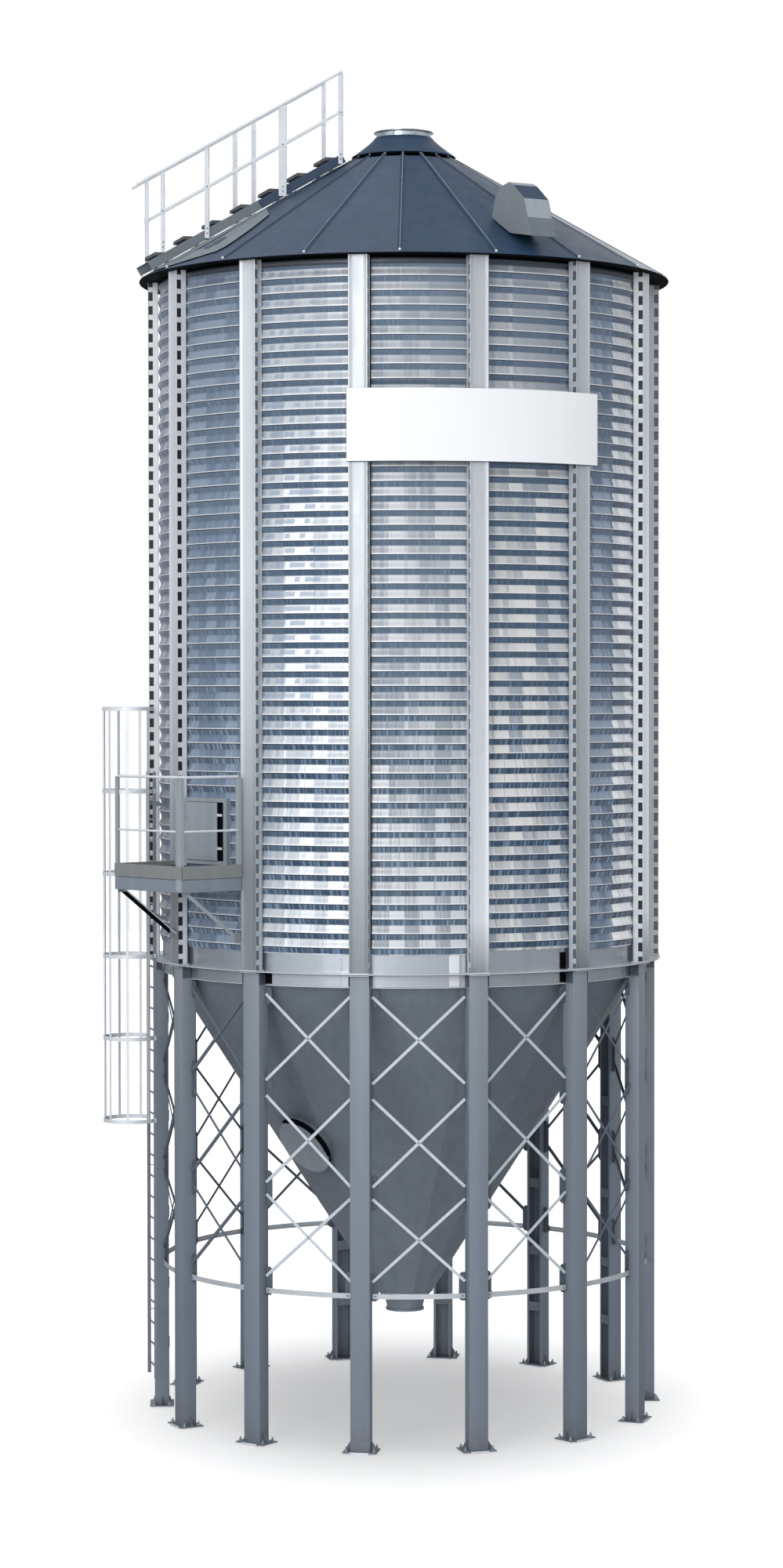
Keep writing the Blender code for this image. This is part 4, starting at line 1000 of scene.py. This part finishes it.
# --------------------------------------------------------------------- platform
DT = TH0 - 1.5 * STEP
pf = F(DT)
DU, D0, D1, DZ = 0.650, 3.165, 4.080, 6.890
b = Build()
n_bar = 40
for i in range(n_bar):
    u = -DU + 0.045 + (2 * DU - 0.09) * i / (n_bar - 1)
    b.cbox((D1 - D0 - 0.06, 0.0045, 0.030), ((D0 + D1) / 2 - 0.004, u, DZ - 0.016), "grating", pf, c=0.0008)
for i in range(10):
    n = D0 + 0.06 + (D1 - D0 - 0.12) * i / 9
    b.tube([(n, -DU + 0.04, DZ - 0.006), (n, DU - 0.04, DZ - 0.006)], 0.004, "grating", 6, pf)
# frame channels: a lower blue-grey face with a toe board over it
zf = 6.698
for at, size in (((D1 - 0.012, 0, zf), (0.010, 2 * DU - 0.004, 0.150)), ((D0 + 0.010, 0, zf + 0.05), (0.010, 2 * DU - 0.06, 0.110))):
    b.cbox(size, at, "grey_blue", pf, c=0.002)
for s in (-1, 1):
    b.cbox((D1 - D0 - 0.02, 0.010, 0.150), ((D0 + D1) / 2, s * (DU - 0.010), zf), "grey_blue", pf, c=0.002)
for z in (6.626, 6.770):
    b.cbox((0.045, 2 * DU - 0.03, 0.006), (D1 - 0.035, 0, z), "grey_blue", pf, c=0.001)
    for s in (-1, 1):
        b.cbox((D1 - D0 - 0.06, 0.045, 0.006), ((D0 + D1) / 2, s * (DU - 0.033), z), "grey_blue", pf, c=0.001)
b.cbox((0.006, 2 * DU, 0.156), (D1 - 0.0035, 0, 6.857), "toe", pf, c=0.0015)
for s in (-1, 1):
    b.cbox((D1 - D0 - 0.02, 0.006, 0.156), ((D0 + D1) / 2 - 0.006, s * (DU - 0.0035), 6.857), "toe", pf, c=0.0015)
for i in range(3):
    n = D0 + 0.20 + 0.25 * i
    b.cbox((0.008, 2 * DU - 0.06, 0.080), (n, 0, 6.800), "grey_blue", pf, c=0.001)
# struts down to the stiffeners' feet
for s in (-1, 1):
    a = Vector((D1 - 0.06, s * (DU - 0.030), 6.635))
    c = Vector((D0 + 0.030, s * (DU - 0.030), 6.03))
    d = (c - a).normalized()
    # the left strut is black with a near-white lip, the right one light grey: painted shade on the left strut's side
    # and a painted highlight on its top edge
    body, lip = ("grey_light", "grey_light") if s > 0 else ("black", "strap")
    b.bar(a, c, 0.044 if s > 0 else 0.052, 0.006, body, pf, (0, 1, 0))
    q = Vector((-d.z, 0, d.x)) * (0.019 if s > 0 else 0.024)
    if q.z < 0:
        q = -q
    b.bar(a + q + Vector((0, -s * 0.018, 0)), c + q + Vector((0, -s * 0.018, 0)), 0.006, 0.036, lip, pf, (0, 1, 0))
    b.cbox((0.090, 0.008, 0.120), (D0 + 0.055, s * (DU - 0.030), 6.06), "grey", pf, c=0.002)
    b.cbox((0.120, 0.008, 0.110), (D1 - 0.090, s * (DU - 0.030), 6.640), "grey", pf, c=0.002)
    b.bolt((D1 - 0.085, s * (DU - 0.026), 6.640), "bolt", 0.010, 0.009, pf, Matrix.Rotation(math.pi / 2 * s, 4, "Z"))
b.done("platform_deck", ["access_platform"], 30)

b = Build()
pu, pn0, pn1 = DU - 0.030, D0 + 0.04, D1 - 0.030
zt, zm = 7.978, 7.340
for z, r in ((zt, 0.0165), (zm, 0.0125), (7.10, 0.0)):
    if r:
        b.tube([(pn1, -pu, z), (pn1, pu - 0.05, z), (pn1 - 0.015, pu - 0.015, z), (pn1 - 0.05, pu, z), (pn0, pu, z)], r, "rail", 12, pf)
for n, u, w in ((pn1 + 0.012, 0.5835, 0.089), (pn1 + 0.005, -pu, 0.055), (pn0, pu, 0.052)):
    z0 = 6.640 if w == 0.089 else 6.780
    b.cbox((0.010, w, zt - z0), (n + 0.010, u - 0.0, (zt + z0) / 2 - 0.004), "grey_light", pf, c=0.002)
    b.cbox((0.050, 0.008, zt - z0 - 0.02), (n - 0.018, u + (w / 2 - 0.004) * (1 if u > 0 else -1), (zt + z0) / 2 - 0.004), "grey_light", pf, c=0.002)
    for z in (6.82, 6.88, zm, zt - 0.03):
        b.bolt((n + 0.0150, u, z), "bolt", 0.009, 0.0025, pf, washer=False)
b.done("platform_rail", ["platform_railing"], 30)

# ------------------------------------------------------------------------- door
df = F(-50.5)
DC = 7.305
b = Build()
fw, fh = 0.8392, 0.7992
for s in (-1, 1):
    b.cbox((0.114, 0.058, fh), (3.0555, s * (fw / 2 - 0.029), DC), "grey_light", df, c=0.003)
    b.cbox((0.1138, fw - 0.118, 0.048), (3.0555, 0, DC + s * (fh / 2 - 0.024)), "grey_light", df, c=0.003)
# black plates behind and beside the leaf: painted shadow in the opening and in the gaps round the leaf
b.cbox((0.010, fw - 0.12, fh - 0.10), (3.045, 0, DC), "black", df, c=0.001)
b.cbox((0.003, 0.096, fh - 0.12), (3.1122, 0.309, DC), "black", df, c=0.001)
b.cbox((0.0026, 0.010, fh - 0.12), (3.1142, -0.3755, DC), "black", df, c=0.0005)
for s in (-1, 1):
    for i in range(5):
        b.bolt((3.1121, s * (fw / 2 - 0.014), DC - 0.36 + 0.18 * i), "grey_light", 0.005, 0.0009, df, washer=False)
b.done("door_surround", ["door_frame"], 30)
b = Build()
dw, dh, du = 0.628, 0.698, -0.055
b.cbox((0.022, dw, dh), (3.1265, du, DC), "grey_light", df, c=0.005)
b.cbox((0.004, dw - 0.085, dh - 0.085), (3.1390, du, DC), "grey_light", df, c=0.0015)
for z in (DC - 0.20, DC + 0.20):                     # hinges across the dark gap
    b.cbox((0.012, 0.110, 0.030), (3.1300, du + dw / 2 + 0.045, z), "strap", df, c=0.002)
    b.tube([(3.1330, du + dw / 2 + 0.012, z - 0.030), (3.1330, du + dw / 2 + 0.012, z + 0.030)], 0.0085, "bolt", 10, df)
for z in (DC - 0.17, DC + 0.17):                     # toggles on the other edge
    b.cbox((0.008, 0.045, 0.024), (3.1385, du - dw / 2 + 0.026, z), "grey", df, c=0.002)
b.tube([(3.1385, du - dw / 2 + 0.085, DC - 0.06), (3.1420, du - dw / 2 + 0.085, DC - 0.055), (3.1420, du - dw / 2 + 0.085, DC + 0.055), (3.1385, du - dw / 2 + 0.085, DC + 0.06)], 0.005, "grey", 8, df)
b.done("door_leaf", ["access_door"], 30)

# ----------------------------------------------------------------------- ladder
LT, LR, LW = -75.0, 3.222, 0.420
lf = F(LT)
b = Build()
for s in (-1, 1):
    b.cbox((0.042, 0.009, 7.498), (LR + 0.0225, s * (LW / 2 + 0.004), 4.25), "ladder", lf, c=0.002)
    b.cbox((0.007, 0.018, 7.498), (LR + 0.0045, s * (LW / 2 - 0.001), 4.25), "ladder", lf, c=0.001)
n_r = 28
for i in range(n_r):
    z = 0.65 + 0.26 * i
    b.tube([(LR + 0.0225, -LW / 2 + 0.004, z), (LR + 0.0225, LW / 2 - 0.004, z)], 0.0125, "ladder", 10, lf)
    for s in (-1, 1):
        b.bolt((LR + 0.0225, s * (LW / 2 + 0.0080), z), "ladder", 0.007, 0.0018, lf, Matrix.Rotation(math.pi / 2 * s, 4, "Z"), washer=False)
for z in (1.30, 3.10, 4.70):                         # stand-offs to the leg
    for s in (-1, 1):
        b.bar((LR + 0.004, s * (LW / 2 - 0.012), z), (3.120, s * (LW / 2 - 0.012), z), 0.040, 0.006, "ladder", lf, (0, 0, 1))
for z in (6.2, 7.6):
    for s in (-1, 1):
        b.cbox((0.130, 0.006, 0.045), (LR - 0.062, s * (LW / 2 - 0.008), z), "ladder", lf, c=0.001)
b.done("ladder_run", ["ladder"], 30)

CC, CR = 3.502, 0.345
HOOPS = (3.700, 4.717, 5.732, 6.747, 7.762, 8.777)
b = Build()
cage_frame = lf @ Matrix.Translation((CC, 0, 0))
us = 0.2203
for z in HOOPS:
    pr = [(CR - 0.0005, z - 0.024), (CR - 0.0005, z + 0.024), (CR - 0.0060, z + 0.024), (CR - 0.0060, z - 0.024)]
    b.lathe(pr, "cage", 40, -36.0, 216.0, frame=cage_frame)
    for s in (-1, 1):
        b.bar((CC - 0.184, s * 0.2850, z), (LR + 0.036, s * (us + 0.0020), z), 0.048, 0.005, "cage", lf, (0, 1, 0))
        b.cbox((0.036, 0.005, 0.048), (LR + 0.026, s * (us - 0.0022), z), "cage", lf, c=0.001)
        b.bolt((LR + 0.026, s * (us + 0.0006), z), "bolt", 0.008, 0.006, lf, Matrix.Rotation(math.pi / 2 * s, 4, "Z"), washer=False)
for a in (-31, 15, 60, 90, 120, 162, 209):
    q = cage_frame @ Matrix.Rotation(math.radians(a - 90), 4, "Z")
    b.cbox((0.0045, 0.034, 5.120), (CR - 0.0088, 0, 6.2385), "cage", q, c=0.001)
    for z in HOOPS:
        b.bolt((CR - 0.0006, 0, z), "cage", 0.006, 0.0004, q, washer=False)
b.done("cage", ["ladder_cage"], 30)

# ------------------------------------------------------------------- sign board
b = Build()
S0, S1, SZ0, SZ1 = -12.0, 45.6, 11.670, 12.528
b.lathe([(3.2318, SZ0 + 0.004), (3.2318, SZ1 - 0.004), (3.2290, SZ1 - 0.001), (3.2260, SZ1 - 0.001), (3.2260, SZ0 + 0.001), (3.2290, SZ0 + 0.001)], "sign", 48, S0, S1, frame=C0)
b.lathe([(3.2258, SZ0 + 0.0005), (3.2258, SZ1 - 0.0005), (3.2200, SZ1 - 0.0005), (3.2200, SZ0 + 0.0005)], "sign_edge", 48, S0 + 0.02, S1 - 0.02, frame=C0)
# a dark strip along the board's bottom edge and another at its left end: painted shadow
b.lathe([(3.2319, SZ0 + 0.0002), (3.2319, SZ0 + 0.0075), (3.2262, SZ0 + 0.0075), (3.2262, SZ0 + 0.0002)], "gusset", 48, S0, S1, frame=C0)
b.lathe([(3.2319, SZ0 + 0.0080), (3.2319, SZ1 - 0.0040), (3.2262, SZ1 - 0.0040), (3.2262, SZ0 + 0.0080)], "gusset", 1, S0 - 0.09, S0 - 0.002, frame=C0)
for z in (SZ0 + 0.14, SZ1 - 0.14):                   # rails behind the board
    b.lathe([(3.2198, z - 0.020), (3.2198, z + 0.020), (3.2125, z + 0.020), (3.2125, z - 0.020)], "sign_edge", 40, S0 + 0.6, S1 - 0.6, frame=C0)
b.done("board", ["sign_board"], 30)

# ------------------------------------------------------------ carried-over nodes
cone_node = frame["nodes"]["hopper_cone"]
for i in range(len(cone_node.material_slots)):
    cone_node.material_slots[i].material = M["cone"]

# ----------------------------------------------------------------- stage, camera
bm = bmesh.new()
bmesh.ops.create_grid(bm, x_segments=2, y_segments=2, size=90.0)
me = bpy.data.meshes.new("floor")
bm.to_mesh(me)
bm.free()
floor = bpy.data.objects.new("floor", me)
floor.location = (0, 0, -0.0005)
bpy.context.scene.collection.objects.link(floor)
fm, nt, fb, fco = start("floor_pale")
nt.links.new(ramp(nt, noise(nt, fco, 0.6, 4.0, 0.6), [(0.3, grey(0.27)), (0.7, grey(0.29))]), fb.inputs["Base Color"])
fb.inputs["Roughness"].default_value = 0.9
fb.inputs["Specular IOR Level"].default_value = 0.1
# a painted shadow under the silo on a pale ground: the floor's glow falls to grey near the feet
mp = nt.nodes.new("ShaderNodeMapping")
mp.inputs["Location"].default_value = (-AX / 3.25, 0.0, 0.0)
mp.inputs["Scale"].default_value = (1 / 3.25, 1 / 4.40, 1.0)
nt.links.new(fco, mp.inputs["Vector"])
ln = nt.nodes.new("ShaderNodeVectorMath")
ln.operation = "LENGTH"
nt.links.new(mp.outputs[0], ln.inputs[0])
nt.links.new(ramp(nt, math_node(nt, "MULTIPLY", ln.outputs["Value"], 0.5), [(0.12, grey(0.365)), (0.20, grey(0.385)), (0.30, grey(0.445)), (0.35, grey(0.50)), (0.405, grey(0.57)), (0.51, grey(0.70)), (0.60, grey(0.80)), (0.74, grey(1.0))], "LINEAR"),
             fb.inputs["Emission Color"])
fb.inputs["Emission Strength"].default_value = 1.0
me.materials.append(fm)
floor.visible_glossy = False
floor.visible_diffuse = False

scene = bpy.context.scene
scene.view_settings.view_transform = "Standard"
scene.view_settings.look = "None"
scene.view_settings.exposure = 0.0
scene.view_settings.gamma = 1.0

w = bpy.data.worlds.new("studio")
scene.world = w
w.use_nodes = True
wt = w.node_tree
wt.nodes.clear()
tc = wt.nodes.new("ShaderNodeTexCoord")
sep = wt.nodes.new("ShaderNodeSeparateXYZ")
wt.links.new(tc.outputs["Generated"], sep.inputs[0])
elev = remap(wt, sep.outputs[2], -1, 1, 0, 1)
sky = ramp(wt, elev, [(0.0, (0.24, 0.25, 0.265)), (0.46, (0.31, 0.325, 0.345)), (0.505, (0.50, 0.52, 0.545)), (0.56, (0.66, 0.675, 0.70)),
                      (0.72, (0.64, 0.66, 0.69)), (1.0, (0.60, 0.625, 0.66))])
side = remap(wt, math_node(wt, "ABSOLUTE", sep.outputs[0]), 0.45, 1.0, 1.0, 0.80, True)


def lobe(az, el, lo, hi, gain):
    d = (math.sin(math.radians(az)) * math.cos(math.radians(el)), -math.cos(math.radians(az)) * math.cos(math.radians(el)), math.sin(math.radians(el)))
    n = wt.nodes.new("ShaderNodeVectorMath")
    n.operation = "DOT_PRODUCT"
    wt.links.new(tc.outputs["Generated"], n.inputs[0])
    n.inputs[1].default_value = d
    return remap(wt, n.outputs["Value"], lo, hi, 0.0, gain, True)


total = math_node(wt, "ADD", side, lobe(-26, 4, 0.35, 0.99, 1.10))
total = math_node(wt, "ADD", total, lobe(66, -8, 0.20, 0.95, 0.22))
total = math_node(wt, "ADD", total, lobe(0, -46, 0.72, 0.99, 1.5))
total = math_node(wt, "ADD", total, lobe(160, 24, 0.80, 0.99, 0.6))
col = mix(wt, 1.0, sky, (1.0, 1.0, 1.0), "MULTIPLY")
vm = wt.nodes.new("ShaderNodeVectorMath")
vm.operation = "SCALE"
wt.links.new(col, vm.inputs[0])
wt.links.new(total, vm.inputs["Scale"])
bg = wt.nodes.new("ShaderNodeBackground")
wt.links.new(vm.outputs[0], bg.inputs[0])
bg.inputs[1].default_value = 1.0
bw = wt.nodes.new("ShaderNodeBackground")
bw.inputs[0].default_value = (1, 1, 1, 1)
lp = wt.nodes.new("ShaderNodeLightPath")
ms = wt.nodes.new("ShaderNodeMixShader")
wt.links.new(lp.outputs["Is Camera Ray"], ms.inputs[0])
wt.links.new(bg.outputs[0], ms.inputs[1])
wt.links.new(bw.outputs[0], ms.inputs[2])
wo = wt.nodes.new("ShaderNodeOutputWorld")
wt.links.new(ms.outputs[0], wo.inputs[0])


def area(name, az, el, dist, size, power, colour=(1, 1, 1)):
    li = bpy.data.lights.new(name, "AREA")
    li.shape = "SQUARE"
    li.size = size
    li.energy = power
    li.color = colour
    o = bpy.data.objects.new(name, li)
    a, e = math.radians(az), math.radians(el)
    p = Vector((math.sin(a) * math.cos(e), -math.cos(a) * math.cos(e), math.sin(e))) * dist + Vector((0, 0, 8))
    o.location = p
    o.rotation_mode = "QUATERNION"
    o.rotation_quaternion = (Vector((0, 0, 8)) - p).to_track_quat("-Z", "Y")
    bpy.context.scene.collection.objects.link(o)
    return o


area("key_soft", -22, 12, 46, 16, 4800, (1.0, 0.995, 0.985))
area("side_soft", 66, 4, 46, 16, 1500, (1.0, 0.995, 0.985)).visible_glossy = False
area("top_soft", 0, 89, 40, 26, 3000, (0.97, 0.985, 1.0))

cam = bpy.data.cameras.new("camera")
cam.sensor_fit = "AUTO"
cam.sensor_width = 36.0
cam.lens = 4549.3 * 36.0 / 2000.0
cam.clip_end = 500.0
co = bpy.data.objects.new("camera", cam)
yaw, pitch, roll = -0.0036, 0.0249, -0.0012
fwd = Vector((math.sin(yaw) * math.cos(pitch), math.cos(yaw) * math.cos(pitch), -math.sin(pitch)))
rt = Vector((math.cos(yaw), -math.sin(yaw), 0))
upv = rt.cross(fwd)
right = rt * math.cos(roll) + upv * math.sin(roll)
up = -rt * math.sin(roll) + upv * math.cos(roll)
m4 = Matrix((right, up, -fwd)).transposed().to_4x4()
m4.translation = Vector((AX, -44.92, 8.9407))
co.matrix_world = m4
bpy.context.scene.collection.objects.link(co)
scene.camera = co
